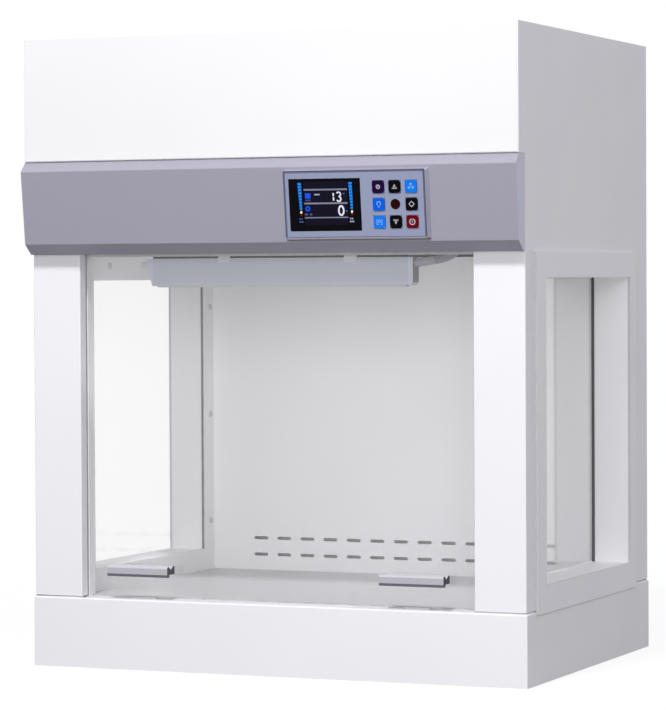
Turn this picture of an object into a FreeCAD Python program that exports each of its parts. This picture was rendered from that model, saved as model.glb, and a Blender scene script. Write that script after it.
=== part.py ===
import FreeCAD, Part
import math
import os
from types import SimpleNamespace

import Sketcher
from FreeCAD import Placement, Rotation, Vector

# Ductless fume hood for a bench: a sheet-metal cabinet with a clear rising sash,
# a window in each side wall, a slotted rear baffle and a filter and fan in its head.
# X runs to the right, Y runs back and Z runs up. The pieces are drawn with Y measured
# back from the front of the head, and their placements centre the footprint.

doc = FreeCAD.newDocument("fume_hood")
sizes = doc.addObject("Spreadsheet::Sheet", "Sizes")

# Driving sizes in millimetres.
TABLE = {
    # Cabinet
    "body_width": "600",
    "body_depth": "450",
    "origin_back": "218.1",
    "sheet_metal": "1.2",
    "bend": "1.6",
    "hairline": "0.2",
    # Base
    "base_height": "80",
    "base_proud": "1.5",
    "base_rim": "62",
    "seam_gap": "2",
    # Posts and sash channels
    "front_setback": "20",
    "post_width": "60",
    "post_return": "14",
    "guide_return": "14",
    "guide_reach": "22",
    "guide_wall": "0.8",
    "glass_clearance": "0.4",
    "edge_clearance": "1.2",
    # Chamber
    "wall_depth": "47.5",
    "plenum_depth": "46.5",
    "opening_height": "393",
    "ceiling_rise": "3",
    "flange": "12",
    # Head
    "head_height": "141.5",
    "vent_half_width": "150",
    "vent_front": "130",
    "vent_rear": "370",
    "vent_rim": "8",
    "grille_lap": "10",
    "grille_slot_length": "88",
    "grille_slot_width": "8",
    "grille_column_pitch": "98",
    "grille_row_pitch": "15",
    "grille_rows": "15",
    # Fascia
    "fascia_height": "105.5",
    "fascia_sheet": "1.5",
    "fascia_crest": "9",
    "fascia_shoulder": "11",
    "fascia_top_back": "2",
    "fascia_foot_back": "0.5",
    "fascia_chin": "11.5",
    "fascia_chin_back": "15",
    "fascia_lip": "12",
    "ceiling_lip": "6",
    # Side windows
    "window_front_margin": "24",
    "window_rear_margin": "27",
    "window_bottom_margin": "27",
    "window_top_margin": "29",
    "window_frame_width": "30",
    "window_frame_rear": "22",
    "window_frame_thickness": "3",
    "window_frame_lap": "3.5",
    "window_corner": "2",
    "pane_thickness": "3",
    "gasket_wall": "0.8",
    "gasket_lap": "0.25",
    # Baffle slots
    "slot_count": "13",
    "slot_pitch": "31.3",
    "slot_length": "18.7",
    "slot_height": "4",
    "slot_corner": "1.3",
    "slot_row_height": "20.5",
    "slot_row_rise": "20.5",
    "baffle_gap": "6.5",
    # Sash and handles
    "glass_thickness": "5",
    "glass_lap": "19",
    "sash_travel": "200",
    "handle_offset": "167.5",
    "handle_length": "76",
    "handle_height": "9",
    "handle_depth": "19",
    "handle_rise": "27.5",
    "grip_thickness": "3",
    "handle_round": "2",
    "groove_lip": "4.5",
    "groove_width": "10",
    "groove_depth": "3.6",
    "grip_depth": "6",
    "buffer_length": "30",
    # Control panel on the fascia
    "bezel_left": "30",
    "bezel_width": "168",
    "bezel_low": "3.7",
    "bezel_height": "75.6",
    "bezel_proud": "7",
    "bezel_skirt": "1.8",
    "bezel_rim": "2",
    "bezel_ledge": "4.5",
    "plate_thickness": "1.5",
    "plate_gap": "0.6",
    "board_thickness": "1.6",
    "board_lap": "2.4",
    "display_left": "36.5",
    "display_width": "85",
    "display_low": "12.8",
    "display_height": "57.4",
    "display_corner": "2.5",
    "key_centre": "162.1",
    "key_row_centre": "41.2",
    "key_pitch": "19.2",
    "key_size": "14",
    "key_corner": "2",
    "key_proud": "0.8",
    "key_travel": "0.5",
    "key_gap": "0.3",
    "key_flange": "1",
    "receiver_radius": "5.5",
    # Lamp
    "lamp_back": "56",
    "lamp_depth": "18",
    "lamp_height": "31.2",
    "lamp_length": "314",
    "lamp_shift": "7",
    "lamp_drop": "8.3",
    "lamp_round": "4",
    "lamp_cap": "6",
    "lamp_spine": "2.5",
    "spine_back": "1",
    "cap_bevel": "3",
    "long_bevel": "5.5",
    "long_bevel_rise": "16.5",
    "blank_length": "12",
    "blank_radius": "3.3",
    "diffuser_proud": "1.5",
    "clip_offset": "77.5",
    "clip_shift": "4",
    "clip_width": "15",
    "clip_lip": "5",
    "boot_level": "24.5",
    "boot_length": "24",
    "boot_rise": "3.6",
    "boot_radius": "4.7",
    "lead_radius": "4",
    "lead_reach": "24",
    # Filter and fan
    "filter_rise": "12.8",
    "filter_margin": "38",
    "pre_filter_height": "15",
    "carbon_height": "50",
    "carbon_recess": "6",
    "deck_gap": "10",
    "pocket_back": "46",
    "fan_back": "250",
    "inlet_radius": "75",
    "inlet_height": "14",
    "running_gap": "3",
    "wheel_radius": "110",
    "wheel_rise": "10.8",
    "wheel_neck": "11",
    "blade_count": "7",
    "blade_height": "30",
    "blade_radius": "62",
    "blade_offset": "75",
    "blade_start": "78",
    "blade_sweep": "53",
    "blade_thickness": "2.5",
    "hub_radius": "24",
    "shaft_radius": "5",
    "shaft_length": "33",
    "motor_radius": "46",
    "motor_height": "36",
    "motor_gap": "6",
    "bracket_half": "130",
    "bracket_foot": "20",
    "bracket_width": "60",
    "bracket_metal": "2",
    "supply_width": "100",
    "supply_depth": "120",
    "supply_height": "42",
    # Back
    "inlet_inset": "85",
    "inlet_drop": "78.8",
    "socket_width": "50",
    "socket_height": "28",
    "socket_proud": "2.5",
    "socket_body_width": "32",
    "socket_body_height": "22",
    "socket_body_depth": "22",
    "socket_mouth_depth": "15",
    "screw_head_radius": "4",
    "screw_head_height": "1.8",
    "screw_sides": "12",
    "screw_inset": "9",
    "liner_screw_inset": "10",
    "liner_screw_pitch": "133.5",
    "band_screw_inset": "41",
}


class Size:
    """A length that carries its number and the sheet formula that gives it."""

    def __init__(self, number, formula):
        self.number = float(number)
        self.formula = formula

    def __add__(self, other):
        return combine(self, "+", other)

    def __radd__(self, other):
        return combine(other, "+", self)

    def __sub__(self, other):
        return combine(self, "-", other)

    def __rsub__(self, other):
        return combine(other, "-", self)

    def __mul__(self, other):
        return combine(self, "*", other)

    def __rmul__(self, other):
        return combine(other, "*", self)

    def __truediv__(self, other):
        return combine(self, "/", other)

    def __neg__(self):
        return combine(0, "-", self)


def as_size(value):
    """Return a plain number as a Size."""
    return value if isinstance(value, Size) else Size(value, repr(value))


def combine(left, sign, right):
    """Join two sizes with an arithmetic sign."""
    a, b = as_size(left), as_size(right)
    results = {
        "+": lambda: a.number + b.number,
        "-": lambda: a.number - b.number,
        "*": lambda: a.number * b.number,
        "/": lambda: a.number / b.number,
    }
    return Size(results[sign](), f"({a.formula} {sign} {b.formula})")


def slope_angle(run, rise):
    """Angle in degrees of a slope with this run and rise."""
    number = math.degrees(math.atan(run.number / rise.number))
    return Size(number, f"atan({run.formula} / {rise.formula})")


s = SimpleNamespace()
for row, (alias, number) in enumerate(TABLE.items(), start=1):
    sizes.set(f"A{row}", alias.replace("_", " "))
    sizes.set(f"B{row}", number)
    sizes.setAlias(f"B{row}", alias)
    setattr(s, alias, Size(number, f"Sizes.{alias}"))
doc.recompute()

nodes = []


def bind(item, **formulas):
    """Bind properties to sizes; a double underscore in a name stands for a dot."""
    for name, size in formulas.items():
        item.setExpression(name.replace("__", "."), as_size(size).formula)


def finish(item, label):
    """Name a finished piece and keep it for the end."""
    item.Label = label
    nodes.append(item)
    return item


def stand(item, label, back=0):
    """Finish a piece that stands upright, this far behind the head's front."""
    bind(item, Placement__Base__y=back - s.origin_back)
    return finish(item, label)


# Sketch outlines

AXIS = {"XY": ("XY_Plane", 1), "XZ": ("XZ_Plane", -1), "YZ": ("YZ_Plane", 1)}
ORIGIN = (-1, 1)


def hold(sketch, kind, first, first_point, size):
    """Hold a point's distance from the sketch origin at a size."""
    index = sketch.addConstraint(
        Sketcher.Constraint(kind, *ORIGIN, first, first_point, size.number)
    )
    sketch.setExpression(f"Constraints[{index}]", size.formula)


def polygon(*points):
    """Closed outline with straight sides."""
    corners = [(as_size(a), as_size(b)) for a, b in points]

    def draw(sketch):
        start = sketch.GeometryCount
        vectors = [Vector(a.number, b.number, 0) for a, b in corners]
        count = len(vectors)
        for i in range(count):
            sketch.addGeometry(Part.LineSegment(vectors[i], vectors[(i + 1) % count]))
        for i in range(count):
            nextline = start + (i + 1) % count
            sketch.addConstraint(Sketcher.Constraint("Coincident", start + i, 2, nextline, 1))
        for i, (a, b) in enumerate(corners):
            hold(sketch, "DistanceX", start + i, 1, a)
            hold(sketch, "DistanceY", start + i, 1, b)

    return draw


def rectangle(left, right, low, high):
    """Closed rectangle between two pairs of sizes."""
    return polygon((left, low), (right, low), (right, high), (left, high))


def circle(across, up, radius):
    """Full circle about a point."""
    across, up, radius = as_size(across), as_size(up), as_size(radius)

    def draw(sketch):
        centre = Vector(across.number, up.number, 0)
        ring = sketch.addGeometry(Part.Circle(centre, Vector(0, 0, 1), radius.number))
        hold(sketch, "DistanceX", ring, 3, across)
        hold(sketch, "DistanceY", ring, 3, up)
        index = sketch.addConstraint(Sketcher.Constraint("Radius", ring, radius.number))
        sketch.setExpression(f"Constraints[{index}]", radius.formula)

    return draw


def slot_outline(left, right, middle, height, corner):
    """Slot with chamfered ends, lying along the first sketch axis."""
    low, high = middle - height / 2, middle + height / 2
    return polygon(
        (left + corner, low),
        (right - corner, low),
        (right, low + corner),
        (right, high - corner),
        (right - corner, high),
        (left + corner, high),
        (left, high - corner),
        (left, low + corner),
    )


# Solid features


def new_body(name):
    """Empty body for one piece."""
    return doc.addObject("PartDesign::Body", name)


def sketch_on(body, plane, level, outlines):
    """Sketch on one of the body's own planes, moved along its axis to a level."""
    role, sign = AXIS[plane]
    origin = next(item for item in body.Origin.OriginFeatures if item.Role == role)
    sketch = body.newObject("Sketcher::SketchObject", f"{body.Name}_outline")
    sketch.AttachmentSupport = [(origin, "")]
    sketch.MapMode = "FlatFace"
    sketch.AttachmentOffset = Placement(Vector(0, 0, sign * as_size(level).number), Rotation())
    bind(sketch, AttachmentOffset__Base__z=as_size(level) * sign)
    for draw in outlines:
        draw(sketch)
    return sketch


def pad(body, plane, start, end, *outlines, taper=None):
    """Add material inside the outlines from start to end along the plane's axis."""
    start, end = as_size(start), as_size(end)
    level = end if plane == "XZ" else start
    feature = body.newObject("PartDesign::Pad", f"{body.Name}_pad")
    feature.Profile = sketch_on(body, plane, level, outlines)
    bind(feature, Length=end - start)
    if taper is not None:
        bind(feature, TaperAngle=taper)
    body.Tip = feature
    return feature


def pocket(body, plane, start, end, *outlines):
    """Take the material inside the outlines away from start to end."""
    start, end = as_size(start), as_size(end)
    level = start if plane == "XZ" else end
    feature = body.newObject("PartDesign::Pocket", f"{body.Name}_pocket")
    feature.Profile = sketch_on(body, plane, level, outlines)
    bind(feature, Length=end - start)
    body.Tip = feature
    return feature


def nearest_edges(shape, points):
    """Names of the edges that pass closest to the given points."""
    names = []
    for point in points:
        spot = Part.Vertex(*(as_size(value).number for value in point))
        gaps = [edge.distToShape(spot)[0] for edge in shape.Edges]
        names.append(f"Edge{gaps.index(min(gaps)) + 1}")
    return sorted(set(names))


def round_edges(body, radius, *points):
    """Fillet the body's edges that pass closest to the given points."""
    doc.recompute()
    tip = body.Tip
    feature = body.newObject("PartDesign::Fillet", f"{body.Name}_round")
    feature.Base = (tip, nearest_edges(tip.Shape, points))
    bind(feature, Radius=radius)
    body.Tip = feature
    return feature


def block(name, x, y, z):
    """Box between pairs of sizes along the three axes."""
    box = doc.addObject("Part::Box", name)
    spans = [(as_size(low), as_size(high)) for low, high in (x, y, z)]
    bind(box, Length=spans[0][1] - spans[0][0])
    bind(box, Width=spans[1][1] - spans[1][0])
    bind(box, Height=spans[2][1] - spans[2][0])
    bind(box, Placement__Base__x=spans[0][0])
    bind(box, Placement__Base__y=spans[1][0])
    bind(box, Placement__Base__z=spans[2][0])
    return box


TURNS = {
    "X": Rotation(Vector(0, 1, 0), 90),
    "-X": Rotation(Vector(0, 1, 0), -90),
    "Y": Rotation(Vector(1, 0, 0), -90),
    "Z": Rotation(),
}


def rod(name, direction, base, radius, length):
    """Cylinder from a base point."""
    item = doc.addObject("Part::Cylinder", name)
    bind(item, Radius=radius, Height=length)
    item.Placement = Placement(Vector(), TURNS[direction])
    for axis, value in zip("xyz", base):
        item.setExpression(f"Placement.Base.{axis}", as_size(value).formula)
    return item


def fuse(name, *pieces):
    """Join pieces into one solid."""
    item = doc.addObject("Part::MultiFuse", name)
    item.Shapes = list(pieces)
    item.Refine = True
    return item


def cut(name, whole, *tools):
    """Take tools away from a piece."""
    item = doc.addObject("Part::Cut", name)
    item.Base = whole
    item.Tool = tools[0] if len(tools) == 1 else fuse(f"{name}_tools", *tools)
    return item


def group(name, pieces):
    """Keep like pieces together as separate solids."""
    item = doc.addObject("Part::Compound", name)
    item.Links = pieces
    return item


# Lines that several pieces share

opening_top = s.base_height + s.opening_height
head_bottom = opening_top + s.fascia_height
body_height = head_bottom + s.head_height
half = s.body_width / 2
base_half = half + s.base_proud
liner_face = half - s.wall_depth
post_edge = half - s.post_width
guide_edge = post_edge + s.guide_reach
channel_gap = s.glass_thickness + 2 * s.guide_wall + 2 * s.glass_clearance
channel_front = s.front_setback + s.post_return
channel_rear = channel_front + channel_gap
guide_rear = channel_rear + s.guide_return
baffle_front = s.body_depth - s.plenum_depth
back_inner = s.body_depth - s.sheet_metal
body_bottom = s.base_height + s.seam_gap
ceiling = opening_top + s.ceiling_rise
filter_floor = ceiling + s.filter_rise
filter_top = filter_floor + s.sheet_metal
pre_filter_top = filter_top + s.pre_filter_height
carbon_top = pre_filter_top + s.carbon_height
deck_height = carbon_top + s.deck_gap
deck_top = deck_height + s.sheet_metal
top_inner = body_height - s.sheet_metal
grille_top = body_height - s.vent_rim
grille_bottom = grille_top - s.sheet_metal
inner_half = half - s.sheet_metal
window_front = guide_rear + s.window_front_margin
window_rear = baffle_front - s.window_rear_margin
window_bottom = s.base_height + s.window_bottom_margin
window_top = opening_top - s.window_top_margin
glass_front = channel_front + s.guide_wall + s.glass_clearance
glass_rear = glass_front + s.glass_thickness
window = (window_front, window_rear, window_bottom, window_top)


def grown(outline, amount):
    """Rectangle limits moved outwards by an amount on every side."""
    left, right, low, high = outline
    return (left - amount, right + amount, low - amount, high + amount)


def across(side, near, far):
    """X limits on one side of the hood, in rising order."""
    return (near, far) if side > 0 else (-far, -near)


# Base cabinet: a closed pan with a rim round its top that carries the floor and walls.

body = new_body("base_cabinet")
pan_front = s.front_setback - s.base_proud
pad(body, "XY", 0, s.base_height, rectangle(-base_half, base_half, pan_front, s.body_depth))
round_edges(
    body,
    s.bend,
    (0, pan_front, s.base_height),
    (base_half, s.body_depth / 2, s.base_height),
    (-base_half, s.body_depth / 2, s.base_height),
    (base_half, pan_front, s.base_height / 2),
    (-base_half, pan_front, s.base_height / 2),
)
pocket(
    body,
    "XY",
    s.sheet_metal,
    s.base_height - s.sheet_metal,
    rectangle(
        s.sheet_metal - base_half,
        base_half - s.sheet_metal,
        pan_front + s.sheet_metal,
        back_inner,
    ),
)
rim_half = base_half - s.base_rim
pocket(
    body,
    "XY",
    s.base_height - 2 * s.sheet_metal,
    s.base_height + s.sheet_metal,
    rectangle(-rim_half, rim_half, pan_front + s.base_rim, s.body_depth - s.base_rim),
)
stand(body, "base_cabinet")

# Work floor: a folded tray whose front lip stands behind the closed sash.

body = new_body("work_floor")
floor_half = liner_face - s.hairline
floor_front = channel_rear + s.sheet_metal
floor_top = s.base_height + s.sheet_metal
pad(
    body,
    "YZ",
    -floor_half,
    floor_half,
    polygon(
        (guide_rear, s.base_height),
        (baffle_front - s.hairline, s.base_height),
        (baffle_front - s.hairline, floor_top),
        (guide_rear, floor_top),
    ),
)
lip_half = post_edge - s.hairline
pad(
    body,
    "YZ",
    -lip_half,
    lip_half,
    rectangle(floor_front, guide_rear, s.base_height, floor_top),
)
stand(body, "work_floor")

# Side panels: one folded sheet a side, from the head's front edge to the back, whose
# lower front edge folds in as the post and back again as the sash channel's front wall.

for side, hand in ((-1, "left"), (1, "right")):
    body = new_body(f"{hand}_side_panel")
    inner_wall = channel_front - s.sheet_metal
    pad(
        body,
        "XY",
        body_bottom,
        head_bottom,
        polygon(
            (side * half, s.body_depth),
            (side * half, s.front_setback),
            (side * post_edge, s.front_setback),
            (side * post_edge, channel_front),
            (side * guide_edge, channel_front),
            (side * guide_edge, inner_wall),
            (side * (post_edge + s.sheet_metal), inner_wall),
            (side * (post_edge + s.sheet_metal), s.front_setback + s.sheet_metal),
            (side * inner_half, s.front_setback + s.sheet_metal),
            (side * inner_half, s.body_depth),
        ),
    )
    post_middle = (body_bottom + opening_top) / 2
    round_edges(
        body,
        s.bend,
        (side * half, s.front_setback, post_middle),
        (side * post_edge, s.front_setback, post_middle),
    )
    pad(
        body,
        "YZ",
        *across(side, inner_half, half),
        polygon(
            (0, head_bottom),
            (s.front_setback + s.bend, head_bottom),
            (s.front_setback + s.bend, head_bottom - s.sheet_metal),
            (s.body_depth, head_bottom - s.sheet_metal),
            (s.body_depth, body_height),
            (0, body_height),
        ),
    )
    pocket(
        body,
        "YZ",
        *across(side, inner_half - s.sheet_metal, half + s.sheet_metal),
        rectangle(*grown(window, s.sheet_metal)),
    )
    stand(body, f"{hand}_side_panel")

# Inner liners: the chamber's side walls. Their front edges step in behind the posts
# and fold out again as the sash channel's rear wall.

for side, hand in ((-1, "left"), (1, "right")):
    body = new_body(f"{hand}_inner_liner")
    pad(
        body,
        "XY",
        s.base_height,
        ceiling,
        polygon(
            (side * liner_face, baffle_front),
            (side * liner_face, guide_rear),
            (side * post_edge, guide_rear),
            (side * post_edge, channel_rear),
            (side * guide_edge, channel_rear),
            (side * guide_edge, channel_rear + s.sheet_metal),
            (side * (post_edge + s.sheet_metal), channel_rear + s.sheet_metal),
            (side * (post_edge + s.sheet_metal), guide_rear - s.sheet_metal),
            (side * (liner_face + s.sheet_metal), guide_rear - s.sheet_metal),
            (side * (liner_face + s.sheet_metal), baffle_front),
        ),
    )
    pocket(
        body,
        "YZ",
        *across(side, liner_face - s.sheet_metal, liner_face + 2 * s.sheet_metal),
        rectangle(*grown(window, s.sheet_metal)),
    )
    stand(body, f"{hand}_inner_liner")

# Side windows: a raised frame on the outside, a deep reveal through the wall and a
# pane with a thin rubber seal round its edge at the reveal's inner end.

frame_limits = (
    window_front - s.window_frame_width,
    window_rear + s.window_frame_rear,
    s.base_height - s.window_frame_lap,
    opening_top,
)
pane_start = liner_face + s.gasket_lap
pane_end = pane_start + s.pane_thickness

for side, hand in ((-1, "left"), (1, "right")):
    body = new_body(f"{hand}_window_frame")
    frame_face = half + s.window_frame_thickness
    pad(
        body,
        "YZ",
        *across(side, half, frame_face),
        rectangle(*frame_limits),
        rectangle(*window),
    )
    round_edges(
        body,
        s.window_corner,
        *(
            (side * (half + s.window_frame_thickness / 2), y, z)
            for y in frame_limits[:2]
            for z in frame_limits[2:]
        ),
    )
    pocket(
        body,
        "YZ",
        *across(side, half - s.base_proud, base_half),
        rectangle(
            frame_limits[0] - s.sheet_metal,
            frame_limits[1] + s.sheet_metal,
            frame_limits[2] - s.sheet_metal,
            s.base_height,
        ),
    )
    stand(body, f"{hand}_window_frame")

    body = new_body(f"{hand}_window_reveal")
    pad(
        body,
        "YZ",
        *across(side, liner_face, half),
        rectangle(*grown(window, s.sheet_metal)),
        rectangle(*window),
    )
    stand(body, f"{hand}_window_reveal")

    body = new_body(f"{hand}_window_pane")
    pad(
        body,
        "YZ",
        *across(side, pane_start, pane_end),
        rectangle(*grown(window, -s.gasket_wall)),
    )
    stand(body, f"{hand}_window_pane")

    body = new_body(f"{hand}_window_gasket")
    pad(
        body,
        "YZ",
        *across(side, liner_face, pane_end + s.gasket_lap),
        rectangle(*window),
        rectangle(*grown(window, -s.gasket_wall)),
    )
    stand(body, f"{hand}_window_gasket")

# Rear baffle: a flanged sheet with two rows of air slots near the floor and an open
# gap between its top and the ceiling.

body = new_body("rear_baffle")
baffle_rear = baffle_front + s.sheet_metal
baffle_top = ceiling - s.baffle_gap
pad(
    body,
    "XZ",
    baffle_front,
    baffle_rear,
    rectangle(-inner_half, inner_half, s.base_height, baffle_top),
)
slot_start = -((s.slot_count - 1) * s.slot_pitch + s.slot_length) / 2
row_low = s.base_height + s.slot_row_height
slots = pocket(
    body,
    "XZ",
    baffle_front,
    baffle_rear,
    *(
        slot_outline(slot_start, slot_start + s.slot_length, level, s.slot_height, s.slot_corner)
        for level in (row_low, row_low + s.slot_row_rise)
    ),
)
rows = body.newObject("PartDesign::LinearPattern", "rear_baffle_rows")
rows.Originals = [slots]
rows.Direction = (slots.Profile[0], ["H_Axis"])
bind(rows, Length=(s.slot_count - 1) * s.slot_pitch, Occurrences=s.slot_count)
body.Tip = rows
for low, high in ((s.base_height, floor_top), (baffle_top - s.sheet_metal, baffle_top)):
    pad(
        body,
        "XY",
        low,
        high,
        rectangle(-inner_half, inner_half, baffle_rear, baffle_rear + s.flange),
    )
stand(body, "rear_baffle")

# Ceiling panel: closes the chamber above the lamp. Its front edge is turned up, and a
# narrow lip hangs from it between the posts.

body = new_body("ceiling_panel")
ceiling_top = ceiling + s.sheet_metal
pad(
    body,
    "YZ",
    -inner_half,
    inner_half,
    polygon(
        (s.pocket_back, ceiling),
        (baffle_rear, ceiling),
        (baffle_rear, ceiling_top),
        (s.pocket_back + s.sheet_metal, ceiling_top),
        (s.pocket_back + s.sheet_metal, filter_floor),
        (s.pocket_back, filter_floor),
    ),
)
lip_half = post_edge - s.hairline
pad(
    body,
    "YZ",
    -lip_half,
    lip_half,
    rectangle(s.pocket_back, s.pocket_back + s.sheet_metal, ceiling - s.ceiling_lip, ceiling),
)
stand(body, "ceiling_panel")

# Back cover and top cover with its outlet.

body = new_body("back_cover")
inlet_centre = half - s.inlet_inset
inlet_level = top_inner - s.inlet_drop
cover_half = inner_half - s.hairline
pad(
    body,
    "XZ",
    back_inner,
    s.body_depth,
    rectangle(-cover_half, cover_half, body_bottom, top_inner - s.hairline),
    rectangle(
        inlet_centre - s.socket_body_width / 2,
        inlet_centre + s.socket_body_width / 2,
        inlet_level - s.socket_body_height / 2,
        inlet_level + s.socket_body_height / 2,
    ),
)
stand(body, "back_cover")

body = new_body("top_cover")
vent = (-s.vent_half_width, s.vent_half_width, s.vent_front, s.vent_rear)
pad(
    body,
    "XY",
    top_inner,
    body_height,
    rectangle(-cover_half, cover_half, s.flange + s.hairline, s.body_depth),
    rectangle(*vent),
)
pad(
    body,
    "XY",
    grille_top,
    top_inner,
    rectangle(*grown(vent, s.sheet_metal)),
    rectangle(*vent),
)
stand(body, "top_cover")

# Exhaust grille: a slotted plate under the outlet's folded rim.

body = new_body("exhaust_grille")
pad(body, "XY", grille_bottom, grille_top, rectangle(*grown(vent, s.grille_lap)))
vent_middle = (s.vent_front + s.vent_rear) / 2
first_row = vent_middle - (s.grille_rows - 1) * s.grille_row_pitch / 2
slot_half = s.grille_slot_length / 2
slots = pocket(
    body,
    "XY",
    grille_bottom,
    grille_top,
    *(
        rectangle(
            column * s.grille_column_pitch - slot_half,
            column * s.grille_column_pitch + slot_half,
            first_row - s.grille_slot_width / 2,
            first_row + s.grille_slot_width / 2,
        )
        for column in (-1, 0, 1)
    ),
)
rows = body.newObject("PartDesign::LinearPattern", "exhaust_grille_rows")
rows.Originals = [slots]
rows.Direction = (slots.Profile[0], ["V_Axis"])
bind(rows, Length=(s.grille_rows - 1) * s.grille_row_pitch, Occurrences=s.grille_rows)
body.Tip = rows
stand(body, "exhaust_grille")

# Head front cover: a white sheet with its top and bottom edges folded back.

body = new_body("head_front_cover")
pad(
    body,
    "YZ",
    -cover_half,
    cover_half,
    polygon(
        (0, head_bottom),
        (s.flange, head_bottom),
        (s.flange, head_bottom + s.sheet_metal),
        (s.sheet_metal, head_bottom + s.sheet_metal),
        (s.sheet_metal, top_inner),
        (s.flange, top_inner),
        (s.flange, body_height),
        (0, body_height),
    ),
)
round_edges(body, s.bend, (0, 0, head_bottom), (0, 0, body_height))
stand(body, "head_front_cover")

# Fascia: a folded box with sloping shoulder and chin and a face that leans forward.

fascia_top = head_bottom - s.hairline
crest_height = fascia_top - s.fascia_shoulder
foot_height = opening_top + s.fascia_chin
face_run = s.fascia_crest + s.fascia_foot_back
face_rise = crest_height - foot_height
face_lean = slope_angle(face_run, face_rise)
wall = s.fascia_sheet

body = new_body("fascia")
pad(
    body,
    "YZ",
    -half,
    half,
    polygon(
        (s.front_setback, fascia_top),
        (s.fascia_top_back, fascia_top),
        (-s.fascia_crest, crest_height),
        (s.fascia_foot_back, foot_height),
        (s.fascia_chin_back, opening_top),
        (s.front_setback, opening_top),
    ),
)
round_edges(
    body,
    s.bend,
    (0, -s.fascia_crest, crest_height),
    (0, s.fascia_foot_back, foot_height),
    (0, s.fascia_chin_back, opening_top),
)
pocket(
    body,
    "YZ",
    wall - half,
    half - wall,
    polygon(
        (s.front_setback + wall, fascia_top - wall),
        (s.fascia_top_back + wall / 2, fascia_top - wall),
        (wall - s.fascia_crest, crest_height - wall / 3),
        (s.fascia_foot_back + wall, foot_height + wall / 2),
        (s.fascia_chin_back + wall / 2, opening_top + wall),
        (s.front_setback + wall, opening_top + wall),
    ),
)
pad(
    body,
    "YZ",
    s.hairline - post_edge,
    post_edge - s.hairline,
    rectangle(
        s.front_setback, s.front_setback + s.fascia_lip, opening_top, opening_top + wall
    ),
)

# The window behind the control panel is cut square to the leaning face.

bezel_right = s.bezel_left + s.bezel_width
bezel_top = s.bezel_low + s.bezel_height
plate_left = s.bezel_left + s.bezel_rim
plate_right = bezel_right - s.bezel_rim
plate_low = s.bezel_low + s.bezel_rim
plate_high = bezel_top - s.bezel_rim
bezel_hole = (
    plate_left + s.bezel_ledge,
    plate_right - s.bezel_ledge,
    plate_low + s.bezel_ledge,
    plate_high - s.bezel_ledge,
)
board_limits = grown(bezel_hole, s.board_lap)


def on_face(item):
    """Stand a piece on the fascia's leaning face, with Z up the slope."""
    item.Placement = Placement(Vector(), Rotation(Vector(1, 0, 0), face_lean.number))
    bind(
        item,
        Placement__Rotation__Angle=face_lean,
        Placement__Base__y=s.fascia_foot_back - s.origin_back,
        Placement__Base__z=foot_height,
    )
    return item


sketch = sketch_on(body, "XZ", 0, [rectangle(*grown(board_limits, s.hairline))])
sketch.AttachmentOffset = Placement(Vector(), Rotation(Vector(1, 0, 0), face_lean.number))
bind(
    sketch,
    AttachmentOffset__Rotation__Angle=face_lean,
    AttachmentOffset__Base__y=foot_height,
    AttachmentOffset__Base__z=-s.fascia_foot_back,
)
opening = body.newObject("PartDesign::Pocket", "fascia_opening")
opening.Profile = sketch
opening.Midplane = True
bind(opening, Length=2 * (wall + s.bend))
body.Tip = opening
stand(body, "fascia")

# Control panel: a tapered bezel, an inset plate, a display, eight keys and a receiver
# window in a grid, and the circuit board behind. It is drawn flat and then leaned.

face = -s.bezel_proud
plate_back = face + s.plate_thickness
bezel_limits = (s.bezel_left, bezel_right, s.bezel_low, bezel_top)
plate_recess = (plate_left, plate_right, plate_low, plate_high)

body = new_body("control_bezel")
pad(
    body,
    "XZ",
    face,
    0,
    rectangle(*grown(bezel_limits, s.bezel_skirt)),
    taper=slope_angle(-s.bezel_skirt, s.bezel_proud),
)
round_edges(
    body,
    s.key_corner,
    *(
        (x, face / 2, z)
        for x in (s.bezel_left - s.bezel_skirt / 2, bezel_right + s.bezel_skirt / 2)
        for z in (s.bezel_low - s.bezel_skirt / 2, bezel_top + s.bezel_skirt / 2)
    ),
)
pocket(body, "XZ", face, 0, rectangle(*bezel_hole))
pocket(body, "XZ", face, plate_back, rectangle(*plate_recess))
finish(on_face(body), "control_bezel")

display_limits = (
    s.display_left,
    s.display_left + s.display_width,
    s.display_low,
    s.display_low + s.display_height,
)
key_half = s.key_size / 2
key_hole_half = key_half + s.key_gap
key_flange_half = key_hole_half + s.key_flange
receiver_hole = s.receiver_radius + s.key_gap
KEYS = {
    "lamp_key": (-1, 1),
    "raise_key": (0, 1),
    "fan_key": (1, 1),
    "light_key": (-1, 0),
    "dim_key": (1, 0),
    "mute_key": (-1, -1),
    "lower_key": (0, -1),
    "power_key": (1, -1),
}


def square_at(column, row, reach):
    """Square about a place in the key grid."""
    x = s.key_centre + column * s.key_pitch
    z = s.key_row_centre + row * s.key_pitch
    return (x - reach, x + reach, z - reach, z + reach)


def corner_points(limits, y):
    """The four corners of a rectangle that stands across Y."""
    return [(x, y, z) for x in limits[:2] for z in limits[2:]]


body = new_body("control_plate")
pad(
    body,
    "XZ",
    face,
    plate_back,
    rectangle(*grown(plate_recess, -s.plate_gap)),
    rectangle(*grown(display_limits, s.hairline)),
    circle(s.key_centre, s.key_row_centre, receiver_hole),
    *(rectangle(*square_at(*place, key_hole_half)) for place in KEYS.values()),
)
finish(on_face(body), "control_plate")

body = new_body("display_screen")
pad(body, "XZ", face, plate_back, rectangle(*display_limits))
round_edges(body, s.display_corner, *corner_points(display_limits, (face + plate_back) / 2))
pad(body, "XZ", plate_back, 0, rectangle(*grown(display_limits, -s.key_corner)))
finish(on_face(body), "display_screen")

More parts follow.
